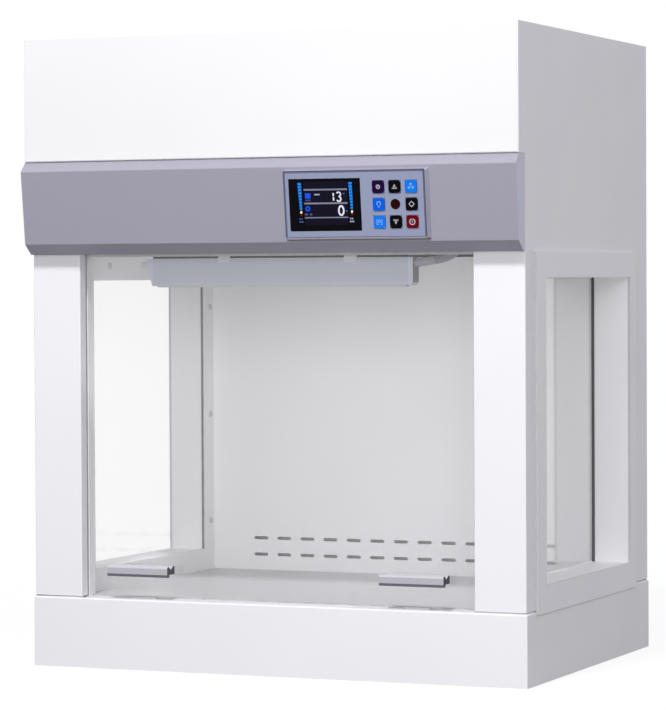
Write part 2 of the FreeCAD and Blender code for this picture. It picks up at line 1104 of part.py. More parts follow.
receiver = rod(
    "receiver_rod",
    "Y",
    (s.key_centre, face, s.key_row_centre),
    s.receiver_radius,
    s.bezel_proud,
)
receiver_group = group("receiver_window_part", [receiver])
finish(on_face(receiver_group), "receiver_window")

key_front = face - s.key_proud
key_flange_front = plate_back + s.hairline / 2
for name, place in KEYS.items():
    body = new_body(name)
    limits = square_at(*place, key_half)
    pad(body, "XZ", key_front, key_flange_front, rectangle(*limits))
    round_edges(body, s.key_corner, *corner_points(limits, face))
    pad(
        body,
        "XZ",
        key_flange_front,
        -s.key_travel - s.key_gap,
        rectangle(*square_at(*place, key_flange_half)),
    )
    finish(on_face(body), name)

board = block("control_board_blank", board_limits[:2], (0, s.board_thickness), board_limits[2:])
board_group = group("control_board_part", [board])
finish(on_face(board_group), "control_board")

# Sash: a toughened pane and two bar handles bonded to it, with grip strips below.

glass_bottom = body_bottom
glass_top = opening_top + s.glass_lap
glass_half = guide_edge - s.guide_wall - s.edge_clearance
handle_low = glass_bottom + s.handle_rise
handle_high = handle_low + s.handle_height
handle_front = glass_front - s.handle_depth

body = new_body("sash_glass")
pad(
    body,
    "XZ",
    glass_front,
    glass_rear,
    rectangle(-glass_half, glass_half, glass_bottom, glass_top),
)
stand(body, "sash_glass")

for side, hand in ((-1, "left"), (1, "right")):
    body = new_body(f"{hand}_handle")
    groove_front = handle_front + s.groove_lip
    pad(
        body,
        "YZ",
        side * s.handle_offset - s.handle_length / 2,
        side * s.handle_offset + s.handle_length / 2,
        polygon(
            (glass_front, handle_low),
            (glass_front, handle_high),
            (groove_front + s.groove_width, handle_high),
            (groove_front + s.groove_width / 2, handle_high - s.groove_depth),
            (groove_front, handle_high),
            (handle_front, handle_high),
            (handle_front, handle_low),
        ),
    )
    round_edges(
        body,
        s.handle_round,
        (side * s.handle_offset, handle_front, handle_high),
    )
    stand(body, f"{hand}_handle")

grips = [
    block(
        f"{hand}_grip_strip",
        (
            side * s.handle_offset - s.handle_length / 2,
            side * s.handle_offset + s.handle_length / 2,
        ),
        (handle_front, handle_front + s.grip_depth),
        (handle_low - s.grip_thickness, handle_low),
    )
    for side, hand in ((-1, "left"), (1, "right"))
]
stand(group("handle_grips", grips), "handle_grips")

# Sash guides: plastic channels that line the slots, and buffers under the glass.

guide_top = glass_top + s.sash_travel + s.guide_wall
for side, hand in ((-1, "left"), (1, "right")):
    body = new_body(f"{hand}_sash_guide")
    leg_start = post_edge + s.sheet_metal
    web = guide_edge - s.guide_wall
    pad(
        body,
        "XY",
        body_bottom,
        guide_top,
        polygon(
            (side * leg_start, channel_front),
            (side * guide_edge, channel_front),
            (side * guide_edge, channel_rear),
            (side * leg_start, channel_rear),
            (side * leg_start, channel_rear - s.guide_wall),
            (side * web, channel_rear - s.guide_wall),
            (side * web, channel_front + s.guide_wall),
            (side * leg_start, channel_front + s.guide_wall),
        ),
    )
    stand(body, f"{hand}_sash_guide")

buffers = [
    block(
        "sash_buffer",
        (side * s.handle_offset - s.buffer_length / 2, side * s.handle_offset + s.buffer_length / 2),
        (glass_front, glass_rear),
        (s.base_height, glass_bottom),
    )
    for side in (-1, 1)
]
stand(group("sash_buffers", buffers), "sash_buffers")

# Lamp: a batten on two clips under the ceiling, with a narrow spine along its top,
# bevelled end caps, a diffuser strip, and a lead that climbs out of a boot at its right
# end and goes up through the ceiling.

lamp_top = ceiling - s.lamp_drop
lamp_bottom = lamp_top - s.lamp_height
lamp_front = s.lamp_back
lamp_rear = s.lamp_back + s.lamp_depth
lamp_left = -s.lamp_length / 2 - s.lamp_shift
lamp_right = s.lamp_length / 2 - s.lamp_shift
lamp_middle = (lamp_front + lamp_rear) / 2
spine_top = lamp_top + s.lamp_spine

body = new_body("lamp_housing")
pad(body, "YZ", lamp_left, lamp_right, rectangle(lamp_front, lamp_rear, lamp_bottom, lamp_top))
round_edges(
    body,
    s.lamp_round,
    (0, lamp_front, lamp_bottom),
    (0, lamp_rear, lamp_bottom),
)
pad(
    body,
    "YZ",
    lamp_left,
    lamp_right,
    rectangle(lamp_front + s.spine_back, lamp_rear - s.spine_back, lamp_top, spine_top),
)
strip_limits = (
    lamp_left + s.lamp_round,
    lamp_right - s.lamp_round,
    lamp_front + s.lamp_round,
    lamp_rear - s.lamp_round,
)
strip_levels = (lamp_bottom - s.diffuser_proud, lamp_bottom + s.diffuser_proud)
pocket(body, "XY", *strip_levels, rectangle(*strip_limits))
stand(body, "lamp_housing")

diffuser = block("diffuser_strip", strip_limits[:2], strip_limits[2:], strip_levels)
stand(group("lamp_diffuser_part", [diffuser]), "lamp_diffuser")

left_tip = lamp_left - s.lamp_cap
right_tip = lamp_right + s.lamp_cap
boot_low = lamp_bottom + s.boot_level
left_cap = new_body("lamp_left_cap")
pad(
    left_cap,
    "XZ",
    lamp_front,
    lamp_rear,
    polygon(
        (left_tip, lamp_top),
        (lamp_left, lamp_top),
        (lamp_left, lamp_bottom),
        (left_tip + s.long_bevel, lamp_bottom),
        (left_tip, lamp_bottom + s.long_bevel_rise),
    ),
)
right_cap = new_body("lamp_right_cap")
pad(
    right_cap,
    "XZ",
    lamp_front,
    lamp_rear,
    polygon(
        (lamp_right, lamp_top),
        (right_tip, lamp_top),
        (right_tip, lamp_bottom + s.cap_bevel),
        (right_tip - s.cap_bevel, lamp_bottom),
        (lamp_right, lamp_bottom),
    ),
)
blank = rod(
    "lamp_blank_plug",
    "-X",
    (left_tip, lamp_middle, boot_low),
    s.blank_radius,
    s.blank_length,
)
stand(group("lamp_end_caps", [fuse("lamp_left_end", left_cap, blank), right_cap]), "lamp_end_caps")

clips = []
for side, hand in ((-1, "left"), (1, "right")):
    body = new_body(f"{hand}_lamp_clip")
    clip_centre = s.clip_shift + side * s.clip_offset
    pad(
        body,
        "YZ",
        clip_centre - s.clip_width / 2,
        clip_centre + s.clip_width / 2,
        polygon(
            (lamp_front - s.sheet_metal, lamp_top - s.clip_lip),
            (lamp_front, lamp_top - s.clip_lip),
            (lamp_front, spine_top),
            (lamp_rear, spine_top),
            (lamp_rear, lamp_top - s.clip_lip),
            (lamp_rear + s.sheet_metal, lamp_top - s.clip_lip),
            (lamp_rear + s.sheet_metal, spine_top + s.sheet_metal),
            (lamp_middle + s.clip_lip, spine_top + s.sheet_metal),
            (lamp_middle + s.clip_lip, ceiling),
            (lamp_middle - s.clip_lip, ceiling),
            (lamp_middle - s.clip_lip, spine_top + s.sheet_metal),
            (lamp_front - s.sheet_metal, spine_top + s.sheet_metal),
        ),
    )
    clips.append(body)
stand(group("lamp_clips", clips), "lamp_clips")


def climbing_rod(name, start, level, run, rise, radius):
    """Cylinder whose middle line climbs through a point, long at both ends."""
    item = doc.addObject("Part::Cylinder", name)
    item.Placement = Placement(Vector(), Rotation(Vector(0, 1, 0), 45))
    bind(
        item,
        Radius=radius,
        Height=2 * (run + rise),
        Placement__Rotation__Angle=slope_angle(run, rise),
        Placement__Base__x=start - radius,
        Placement__Base__y=lamp_middle,
        Placement__Base__z=level - radius * rise / run,
    )
    return item


boot_end = right_tip + s.boot_length
lead_low = boot_low + s.boot_rise
lead_rise = ceiling - lead_low
lead_depth = (lamp_front, lamp_rear)
in_cap = block("boot_start_trim", (lamp_right, right_tip), lead_depth, (lamp_bottom, ceiling))
past_boot = block(
    "boot_end_trim", (boot_end, boot_end + s.boot_length * 2), lead_depth, (lamp_bottom, ceiling)
)
boot = climbing_rod(
    "lamp_boot_rod", right_tip, boot_low, s.boot_length, s.boot_rise, s.boot_radius
)
stand(cut("lamp_boot_part", boot, in_cap, past_boot), "lamp_boot")

in_boot = block("lead_start_trim", (right_tip, boot_end), lead_depth, (lamp_bottom, ceiling))
above_ceiling = block(
    "lead_end_trim", (boot_end, s.body_width), lead_depth, (ceiling, body_height)
)
lead = climbing_rod("lead_sleeve", boot_end, lead_low, s.lead_reach, lead_rise, s.lead_radius)
print("lamp lead radius", s.lead_radius.number, "reach", s.lead_reach.number)
stand(cut("lamp_lead_part", lead, in_boot, above_ceiling), "lamp_lead")

# Filters: a ring frame with front and rear walls carries the pre-filter mat and the
# carbon cartridge above the ceiling panel.

filter_half = inner_half - s.filter_margin
filter_front = s.pocket_back + s.sheet_metal

body = new_body("filter_frame")
pad(
    body,
    "XY",
    filter_floor,
    filter_top,
    rectangle(-inner_half, inner_half, s.pocket_back, baffle_rear),
    rectangle(
        s.flange - filter_half,
        filter_half - s.flange,
        filter_front + s.flange,
        baffle_front - s.flange,
    ),
)
for low, high in ((s.pocket_back, filter_front), (baffle_front, baffle_rear)):
    pad(body, "XY", filter_top, deck_height, rectangle(-inner_half, inner_half, low, high))
stand(body, "filter_frame")

filter_depth = (filter_front + s.hairline, baffle_front - s.hairline)
mat = block("pre_filter_mat", (-filter_half, filter_half), filter_depth, (filter_top, pre_filter_top))
stand(group("pre_filter_part", [mat]), "pre_filter")

body = new_body("carbon_filter")
pad(
    body,
    "XY",
    pre_filter_top,
    carbon_top,
    rectangle(-filter_half, filter_half, *filter_depth),
)
pocket(
    body,
    "XY",
    carbon_top - s.carbon_recess,
    carbon_top,
    rectangle(
        s.flange - filter_half,
        filter_half - s.flange,
        filter_depth[0] + s.flange,
        filter_depth[1] - s.flange,
    ),
)
stand(body, "carbon_filter")

# Fan deck: a folded sheet that parts the filters from the fan and whose front flange
# keeps the sash pocket clear.

body = new_body("fan_deck")
pad(
    body,
    "YZ",
    -inner_half,
    inner_half,
    polygon(
        (s.pocket_back, deck_height),
        (back_inner, deck_height),
        (back_inner, deck_top),
        (filter_front, deck_top),
        (filter_front, top_inner),
        (s.pocket_back, top_inner),
    ),
)
fan_centre = (0, s.fan_back)
collar_inside = s.inlet_radius - s.sheet_metal
pocket(body, "XY", deck_height, deck_top, circle(0, s.fan_back, collar_inside))
stand(body, "fan_deck")

ring = cut(
    "inlet_ring_part",
    rod("ring_outside", "Z", (*fan_centre, deck_top), s.inlet_radius, s.inlet_height),
    rod("ring_bore", "Z", (*fan_centre, deck_top), collar_inside, s.inlet_height),
)
stand(ring, "inlet_ring")

# Fan wheel: a backward-curved wheel with a neck that runs round the inlet ring, a
# shroud, curved blades, a back plate, a hub and a shaft that turns in the motor.

wheel_base = deck_top + s.wheel_rise
shroud_low = wheel_base + s.wheel_neck
blade_low = shroud_low + s.sheet_metal
blade_high = blade_low + s.blade_height
neck_radius = s.inlet_radius + s.running_gap
plate_top = blade_high + s.sheet_metal
motor_low = plate_top + s.motor_gap

neck = cut(
    "wheel_neck",
    rod("neck_outside", "Z", (*fan_centre, wheel_base), neck_radius + s.sheet_metal, s.wheel_neck),
    rod("neck_bore", "Z", (*fan_centre, wheel_base), neck_radius, s.wheel_neck),
)
shroud = cut(
    "wheel_shroud",
    rod("shroud_outside", "Z", (*fan_centre, shroud_low), s.wheel_radius, s.sheet_metal),
    rod("shroud_bore", "Z", (*fan_centre, shroud_low), neck_radius, s.sheet_metal),
)
back_plate = rod("wheel_back_plate", "Z", (*fan_centre, blade_high), s.wheel_radius, s.sheet_metal)
hub = rod("wheel_hub", "Z", (*fan_centre, blade_low), s.hub_radius, s.blade_height)
shaft = rod("wheel_shaft", "Z", (*fan_centre, plate_top), s.shaft_radius, s.shaft_length)
blades = []
for index in range(int(s.blade_count.number)):
    turn = 360 / s.blade_count.number * index
    heading = math.radians(turn)
    centre = (
        s.blade_offset * math.cos(heading),
        s.fan_back + s.blade_offset * math.sin(heading),
        blade_low,
    )
    outside = rod("blade_outside", "Z", centre, s.blade_radius, s.blade_height)
    inside = rod("blade_inside", "Z", centre, s.blade_radius - s.blade_thickness, s.blade_height)
    for sector in (outside, inside):
        bind(sector, Angle=s.blade_sweep, Placement__Rotation__Angle=s.blade_start + turn)
    blades.append(cut("wheel_blade", outside, inside))
wheel = fuse("fan_wheel_part", neck, shroud, back_plate, hub, shaft, *blades)
stand(wheel, "fan_wheel")

motor = cut(
    "fan_motor_part",
    rod("motor_can", "Z", (*fan_centre, motor_low), s.motor_radius, s.motor_height),
    rod(
        "motor_bore",
        "Z",
        (*fan_centre, motor_low),
        s.shaft_radius + s.key_gap,
        s.shaft_length + s.key_gap,
    ),
)
stand(motor, "fan_motor")

body = new_body("motor_bracket")
bracket_top = motor_low + s.motor_height + s.bracket_metal
leg = s.bracket_half
foot = s.bracket_half + s.bracket_foot
metal = s.bracket_metal
pad(
    body,
    "XZ",
    s.fan_back - s.bracket_width / 2,
    s.fan_back + s.bracket_width / 2,
    polygon(
        (-foot, deck_top),
        (metal - leg, deck_top),
        (metal - leg, bracket_top - metal),
        (leg - metal, bracket_top - metal),
        (leg - metal, deck_top),
        (foot, deck_top),
        (foot, deck_top + metal),
        (leg, deck_top + metal),
        (leg, bracket_top),
        (-leg, bracket_top),
        (-leg, deck_top + metal),
        (-foot, deck_top + metal),
    ),
)
stand(body, "motor_bracket")

body = new_body("power_supply")
supply_left = s.flange - inner_half
supply_rear = back_inner - s.flange
pad(
    body,
    "XY",
    deck_top,
    deck_top + s.supply_height,
    rectangle(
        supply_left, supply_left + s.supply_width, supply_rear - s.supply_depth, supply_rear
    ),
)
stand(body, "power_supply")

# Power inlet: a flanged three-pin inlet in the back of the head.

body = new_body("power_inlet")
inlet_limits = (
    inlet_centre - s.socket_width / 2,
    inlet_centre + s.socket_width / 2,
    inlet_level - s.socket_height / 2,
    inlet_level + s.socket_height / 2,
)
inlet_body = (
    inlet_centre - s.socket_body_width / 2,
    inlet_centre + s.socket_body_width / 2,
    inlet_level - s.socket_body_height / 2,
    inlet_level + s.socket_body_height / 2,
)
inlet_face = s.body_depth + s.socket_proud
pad(body, "XZ", s.body_depth, inlet_face, rectangle(*inlet_limits))
pad(body, "XZ", back_inner - s.socket_body_depth, s.body_depth, rectangle(*inlet_body))
pocket(
    body,
    "XZ",
    inlet_face - s.socket_mouth_depth,
    inlet_face,
    rectangle(*grown(inlet_body, -s.socket_proud)),
)
stand(body, "power_inlet")

# Screws in the back cover and in the liners.


def screw_head(name, direction, base):
    """Low head with flat sides on a face."""
    item = doc.addObject("Part::Prism", name)
    item.Polygon = int(s.screw_sides.number)
    item.Placement = Placement(Vector(), TURNS[direction])
    bind(item, Circumradius=s.screw_head_radius, Height=s.screw_head_height)
    bind(item, Placement__Base__x=base[0])
    bind(item, Placement__Base__y=base[1])
    bind(item, Placement__Base__z=base[2])
    return item


cover_screws = []
for x in (s.screw_inset - cover_half, 0, cover_half - s.screw_inset):
    for z in (body_bottom + s.screw_inset, body_height / 2, top_inner - s.screw_inset):
        cover_screws.append(screw_head("cover_screw", "Y", (x, s.body_depth, z)))
stand(group("cover_screws", cover_screws), "cover_screws")

liner_screws = []
strip_back = baffle_front - s.liner_screw_inset
window_middle = (window_bottom + window_top) / 2
band_level = ceiling - (ceiling - window_top) / 2
for side, turn in ((-1, "X"), (1, "-X")):
    places = [(strip_back, window_middle + step * s.liner_screw_pitch) for step in (-1, 0, 1)]
    places += [
        (window_front + s.band_screw_inset, band_level),
        (window_rear - s.band_screw_inset, band_level),
    ]
    for y, z in places:
        liner_screws.append(screw_head("liner_screw", turn, (side * liner_face, y, z)))
stand(group("liner_screws", liner_screws), "liner_screws")

# Build, test every object and write each piece.

doc.recompute()
for item in doc.Objects:
    if "Invalid" in item.State or "Error" in item.State:
        raise RuntimeError(f"{item.Label} did not build: {item.State}")
os.makedirs("parts", exist_ok=True)
for node in nodes:
    shape = node.Shape
    if shape.isNull() or not shape.isValid() or not shape.Solids:
        raise RuntimeError(f"{node.Label} has no valid solid")
    shape.exportStep(f"parts/{node.Label}.step")
box = Part.makeCompound([node.Shape for node in nodes]).BoundBox
print(len(nodes), "pieces", box)
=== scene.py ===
import math

import bpy
import numpy as np
from mathutils import Matrix, Vector


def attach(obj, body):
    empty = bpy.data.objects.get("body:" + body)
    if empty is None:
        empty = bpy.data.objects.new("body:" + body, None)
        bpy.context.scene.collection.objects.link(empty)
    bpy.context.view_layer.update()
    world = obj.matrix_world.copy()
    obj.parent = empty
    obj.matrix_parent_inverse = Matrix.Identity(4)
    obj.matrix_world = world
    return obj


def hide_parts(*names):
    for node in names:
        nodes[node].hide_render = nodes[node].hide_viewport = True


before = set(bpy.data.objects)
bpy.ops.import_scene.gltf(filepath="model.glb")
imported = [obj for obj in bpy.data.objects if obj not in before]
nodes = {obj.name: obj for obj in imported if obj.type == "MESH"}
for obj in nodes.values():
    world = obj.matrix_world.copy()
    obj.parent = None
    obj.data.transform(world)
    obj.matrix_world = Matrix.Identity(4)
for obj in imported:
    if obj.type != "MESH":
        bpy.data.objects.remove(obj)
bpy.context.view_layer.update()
scene = bpy.context.scene
scene.view_settings.view_transform = "Standard"

# Camera
# A long lens stands to the right of the hood's front, level with the middle of the
# work chamber, and looks back at it across the right front post.

camera_place = Vector((1.4703, -3.4577, 0.4460))
camera_turn = math.radians(23.184)
camera_tilt = math.radians(-1.393)
camera_roll = math.radians(-0.285)
camera_lens = 162.71

ahead = Vector(
    (
        -math.sin(camera_turn) * math.cos(camera_tilt),
        math.cos(camera_turn) * math.cos(camera_tilt),
        math.sin(camera_tilt),
    )
)
level = Vector((math.cos(camera_turn), math.sin(camera_turn), 0))
above = level.cross(ahead)
right = math.cos(camera_roll) * level + math.sin(camera_roll) * above
up = math.cos(camera_roll) * above - math.sin(camera_roll) * level
camera_data = bpy.data.cameras.new("camera")
camera_data.lens = camera_lens
camera_data.sensor_width = 36
camera_data.clip_end = 60
camera = bpy.data.objects.new("camera", camera_data)
scene.collection.objects.link(camera)
camera.matrix_world = Matrix.Translation(camera_place) @ Matrix(
    (right, up, -ahead)
).transposed().to_4x4()
scene.camera = camera

# Room
# A pale even room with lamps high in front, low in front, to the right and behind, two
# small ones in the chamber and behind its slotted baffle, and a white floor that keeps the
# hood's shadow.


def worked(tree, operation, *values):
    """Result of one step of arithmetic on sockets and plain numbers."""
    step = tree.nodes.new("ShaderNodeMath")
    step.operation = operation
    for socket, value in zip(step.inputs, values):
        if isinstance(value, (int, float)):
            socket.default_value = value
        else:
            tree.links.new(value, socket)
    return step.outputs[0]


def shown_directly(tree):
    """1 for rays from the camera and those seen in gloss or through glass, else 0."""
    ray = tree.nodes.new("ShaderNodeLightPath").outputs
    mirrored = worked(tree, "MAXIMUM", ray["Is Glossy Ray"], ray["Is Transmission Ray"])
    return worked(tree, "MAXIMUM", ray["Is Camera Ray"], mirrored)


room_light = 0.44
room_tint = (0.95, 0.935, 1.0, 1)
world = bpy.data.worlds.new("room")
world.use_nodes = True
scene.world = world
tree = world.node_tree
tree.nodes.clear()
soft_air = tree.nodes.new("ShaderNodeBackground")
soft_air.inputs["Color"].default_value = room_tint
soft_air.inputs["Strength"].default_value = room_light
white_air = tree.nodes.new("ShaderNodeBackground")
white_air.inputs["Color"].default_value = (1, 1, 1, 1)
white_air.inputs["Strength"].default_value = 1
choice = tree.nodes.new("ShaderNodeMixShader")
tree.links.new(shown_directly(tree), choice.inputs["Fac"])
tree.links.new(soft_air.outputs[0], choice.inputs[1])
tree.links.new(white_air.outputs[0], choice.inputs[2])
world_out = tree.nodes.new("ShaderNodeOutputWorld")
tree.links.new(choice.outputs[0], world_out.inputs["Surface"])


def studio_lamp(name, place, aim, size, power, colour):
    """Soft lamp, so wide and so high, at a place and turned towards a point."""
    data = bpy.data.lights.new(name, "AREA")
    data.shape = "RECTANGLE"
    data.size, data.size_y = size
    data.energy = power
    data.color = colour
    lamp = bpy.data.objects.new(name, data)
    scene.collection.objects.link(lamp)
    lamp.location = place
    lamp.rotation_euler = (Vector(aim) - Vector(place)).to_track_quat("-Z", "Y").to_euler()
    lamp.visible_camera = False
    lamp.visible_glossy = False
    lamp.visible_transmission = False


chamber_middle = (0, 0, 0.4)
studio_lamp("key_lamp", (0.1, -1.9, 2.8), chamber_middle, (0.3, 0.3), 64, (1.0, 1.0, 1.0))
studio_lamp("front_lamp", (-0.1, -2.9, 0.6), chamber_middle, (1.5, 1.5), 4, (1.0, 1.0, 1.0))
studio_lamp("side_lamp", (1.05, -3.2, 0.7), chamber_middle, (1.3, 1.3), 37, (0.97, 0.96, 1.0))
studio_lamp("back_lamp", (-1.1, 3.2, 1.4), chamber_middle, (1.5, 1.5), 30, (1.0, 1.0, 1.0))
studio_lamp("fill_lamp", (3.4, -0.4, 3.0), chamber_middle, (1.2, 1.2), 33, (0.93, 0.91, 1.0))
studio_lamp(
    "inner_lamp", (0, -0.16, 0.26), (0, 0.2, 0.5), (0.42, 0.2), 0.22, (1.0, 1.0, 1.0)
)
studio_lamp(
    "plenum_lamp", (0, 0.2, 0.115), (0, 0.23, 0.115), (0.46, 0.05), 0.01, (0.88, 1.0, 0.95)
)

floor_reach = 30
floor_mesh = bpy.data.meshes.new("floor")
floor_mesh.from_pydata(
    [(x * floor_reach, y * floor_reach, 0) for x, y in ((-1, -1), (1, -1), (1, 1), (-1, 1))],
    [],
    [(0, 1, 2, 3)],
)
floor = bpy.data.objects.new("floor", floor_mesh)
scene.collection.objects.link(floor)
floor_paper = bpy.data.materials.new("floor_paper")
floor_paper.use_nodes = True
tree = floor_paper.node_tree
shown = shown_directly(tree)
paper = tree.nodes["Principled BSDF"]
paper.inputs["Roughness"].default_value = 1
paper.inputs["Specular IOR Level"].default_value = 0
unseen_shade = 0.1
shade = worked(tree, "MULTIPLY_ADD", shown, 1 - unseen_shade, unseen_shade)
tree.links.new(shade, paper.inputs["Base Color"])
glow = tree.nodes.new("ShaderNodeEmission")
glow.inputs["Color"].default_value = (1, 1, 1, 1)
glow.inputs["Strength"].default_value = 1
from_hood = tree.nodes.new("ShaderNodeVectorMath")
from_hood.operation = "LENGTH"
tree.links.new(tree.nodes.new("ShaderNodeTexCoord").outputs["Object"], from_hood.inputs[0])
whitening = tree.nodes.new("ShaderNodeMapRange")
whitening.interpolation_type = "SMOOTHSTEP"
for label, value in (("From Min", 0.4), ("From Max", 1.8), ("To Min", 0.88), ("To Max", 1)):
    whitening.inputs[label].default_value = value
tree.links.new(from_hood.outputs["Value"], whitening.inputs["Value"])
floor_white = worked(tree, "MULTIPLY", shown, whitening.outputs["Result"])
choice = tree.nodes.new("ShaderNodeMixShader")
tree.links.new(floor_white, choice.inputs["Fac"])
tree.links.new(paper.outputs[0], choice.inputs[1])
tree.links.new(glow.outputs[0], choice.inputs[2])
tree.links.new(choice.outputs[0], tree.nodes["Material Output"].inputs["Surface"])
floor_mesh.materials.append(floor_paper)

# Cabinet sheets
# Folded steel sheets with a fine powder coat: the base, the side panels, the back and
# the top. The coat has a slight orange peel and clouds faintly over large faces.


def new_group(name, inputs, outputs):
    """Empty node group with named inputs and outputs, and its two end nodes."""
    group = bpy.data.node_groups.new(name, "ShaderNodeTree")
    for label, kind, value in inputs:
        socket = group.interface.new_socket(label, in_out="INPUT", socket_type=kind)
        if value is not None:
            socket.default_value = value
    for label, kind in outputs:
        group.interface.new_socket(label, in_out="OUTPUT", socket_type=kind)
    start = group.nodes.new("NodeGroupInput")
    end = group.nodes.new("NodeGroupOutput")
    return group, start, end


def noise(tree, place, scale, detail, low, high):
    """Noise over a place, spread between two values."""
    cloud = tree.nodes.new("ShaderNodeTexNoise")
    cloud.inputs["Detail"].default_value = detail
    tree.links.new(place, cloud.inputs["Vector"])
    if isinstance(scale, (int, float)):
        cloud.inputs["Scale"].default_value = scale
    else:
        tree.links.new(scale, cloud.inputs["Scale"])
    spread = tree.nodes.new("ShaderNodeMapRange")
    spread.inputs["From Min"].default_value = 0.25
    spread.inputs["From Max"].default_value = 0.75
    spread.inputs["To Min"].default_value = low
    spread.inputs["To Max"].default_value = high
    tree.links.new(cloud.outputs["Fac"], spread.inputs["Value"])
    return spread.outputs["Result"]


coat_group, start, end = new_group(
    "coat_grain",
    (
        ("Place", "NodeSocketVector", None),
        ("Grain", "NodeSocketFloat", 900.0),
        ("Clouding", "NodeSocketFloat", 0.02),
    ),
    (
        ("Height", "NodeSocketFloat"),
        ("Shade", "NodeSocketFloat"),
        ("Gloss", "NodeSocketFloat"),
    ),
)
fine = noise(coat_group, start.outputs["Place"], start.outputs["Grain"], 3, 0, 1)
wide = noise(coat_group, start.outputs["Place"], 5, 2, -1, 1)
clouds = worked(coat_group, "MULTIPLY_ADD", wide, start.outputs["Clouding"], 1)
patches = noise(coat_group, start.outputs["Place"], 14, 3, -0.04, 0.04)
coat_group.links.new(fine, end.inputs["Height"])
coat_group.links.new(clouds, end.inputs["Shade"])
coat_group.links.new(patches, end.inputs["Gloss"])


def finish(
    name,
    colour,
    roughness,
    metallic=0.0,
    grain=900.0,
    depth=0.00002,
    clouding=0.015,
    coat=0.0,
    specular=0.5,
):
    """Material of one colour with a fine grain, faint clouding and uneven gloss."""
    material = bpy.data.materials.new(name)
    material.use_nodes = True
    tree = material.node_tree
    shader = tree.nodes["Principled BSDF"]
    shader.inputs["Metallic"].default_value = metallic
    shader.inputs["Specular IOR Level"].default_value = specular
    shader.inputs["Coat Weight"].default_value = coat
    shader.inputs["Coat Roughness"].default_value = 0.12
    place = tree.nodes.new("ShaderNodeTexCoord").outputs["Object"]
    coat_node = tree.nodes.new("ShaderNodeGroup")
    coat_node.node_tree = coat_group
    coat_node.inputs["Grain"].default_value = grain
    coat_node.inputs["Clouding"].default_value = clouding
    tree.links.new(place, coat_node.inputs["Place"])
    shade = tree.nodes.new("ShaderNodeMix")
    shade.data_type = "RGBA"
    shade.blend_type = "MULTIPLY"
    shade.inputs["Factor"].default_value = 1
    shade.inputs[6].default_value = (*colour, 1)
    tree.links.new(coat_node.outputs["Shade"], shade.inputs[7])
    tree.links.new(shade.outputs[2], shader.inputs["Base Color"])
    gloss = worked(tree, "ADD", coat_node.outputs["Gloss"], roughness)
    tree.links.new(gloss, shader.inputs["Roughness"])
    bump = tree.nodes.new("ShaderNodeBump")
    bump.inputs["Strength"].default_value = 1
    bump.inputs["Distance"].default_value = depth
    tree.links.new(coat_node.outputs["Height"], bump.inputs["Height"])
    tree.links.new(bump.outputs["Normal"], shader.inputs["Normal"])
    return material


def dress(material, *names):
    """Give CAD nodes a material."""
    for name in names:
        mesh = nodes[name].data
        mesh.materials.clear()
        mesh.materials.append(material)


cabinet_coat = finish("cabinet_coat", (0.87, 0.866, 0.885), 0.42)
dress(
    cabinet_coat,
    "base_cabinet",
    "left_side_panel",
    "right_side_panel",
    "back_cover",
    "top_cover",
    "exhaust_grille",
)

# Head front
# The head's front is one folded steel sheet with a brighter white coat. It is left bare,
# and no screw shows on it.

dress(finish("front_coat", (0.81, 0.81, 0.805), 0.38), "head_front_cover")

# Chamber lining
# The side liners, the slotted baffle and the ceiling have a pale grey coat of their own.
# The floor tray has that pale grey coat too, drawn darker as painted shade.

liner_coat = finish("liner_coat", (0.9, 0.9, 0.9), 0.4)
dress(liner_coat, "left_inner_liner", "right_inner_liner", "rear_baffle", "ceiling_panel")
# The floor tray's darker grey is painted shade.
dress(finish("floor_coat", (0.55, 0.55, 0.565), 0.33), "work_floor")

# Window trims
# Each side window has a raised frame, a deep white reveal, and a thin pale rubber seal
# round the edge of its pane. The frame's edges are drawn darker than its flat face, as
# painted shade.

facing_group, start, end = new_group(
    "sideways_mask",
    (("Normal", "NodeSocketVector", None), ("Least", "NodeSocketFloat", 0.9)),
    (("Mask", "NodeSocketFloat"),),
)
split = facing_group.nodes.new("ShaderNodeSeparateXYZ")
facing_group.links.new(start.outputs["Normal"], split.inputs[0])
sideways = worked(facing_group, "ABSOLUTE", split.outputs["X"])
sideways = worked(facing_group, "GREATER_THAN", sideways, start.outputs["Least"])
facing_group.links.new(sideways, end.inputs["Mask"])


def colour_where(material, mask, colour):
    """Replace a finish's colour where a mask is 1, keeping its clouding elsewhere."""
    tree = material.node_tree
    shader = tree.nodes["Principled BSDF"]
    base = shader.inputs["Base Color"].links[0].from_socket
    blend = tree.nodes.new("ShaderNodeMix")
    blend.data_type = "RGBA"
    blend.inputs[7].default_value = (*colour, 1)
    tree.links.new(mask, blend.inputs["Factor"])
    tree.links.new(base, blend.inputs[6])
    tree.links.new(blend.outputs[2], shader.inputs["Base Color"])


def end_mask(material, least=0.9):
    """1 on faces that look to the left or right by at least this much."""
    tree = material.node_tree
    mask = tree.nodes.new("ShaderNodeGroup")
    mask.node_tree = facing_group
    mask.inputs["Least"].default_value = least
    normal = tree.nodes.new("ShaderNodeNewGeometry").outputs["True Normal"]
    tree.links.new(normal, mask.inputs["Normal"])
    return mask.outputs["Mask"]


# The darker grey on the frame's edges is painted shade; faces looking sideways keep the paler
# grey.
trim_coat = finish("trim_coat", (0.62, 0.62, 0.64), 0.42)
colour_where(trim_coat, end_mask(trim_coat), (0.89, 0.888, 0.91))
dress(trim_coat, "left_window_frame", "right_window_frame")
dress(
    finish("reveal_coat", (0.97, 0.97, 0.97), 0.42), "left_window_reveal", "right_window_reveal"
)
seal_rubber = finish("seal_rubber", (0.85, 0.85, 0.85), 0.75, grain=1400, specular=0.2)
dress(seal_rubber, "left_window_gasket", "right_window_gasket")

# Glass
# The sash and both panes are clear toughened glass. Light passes through them without
# bending on its way into the chamber.


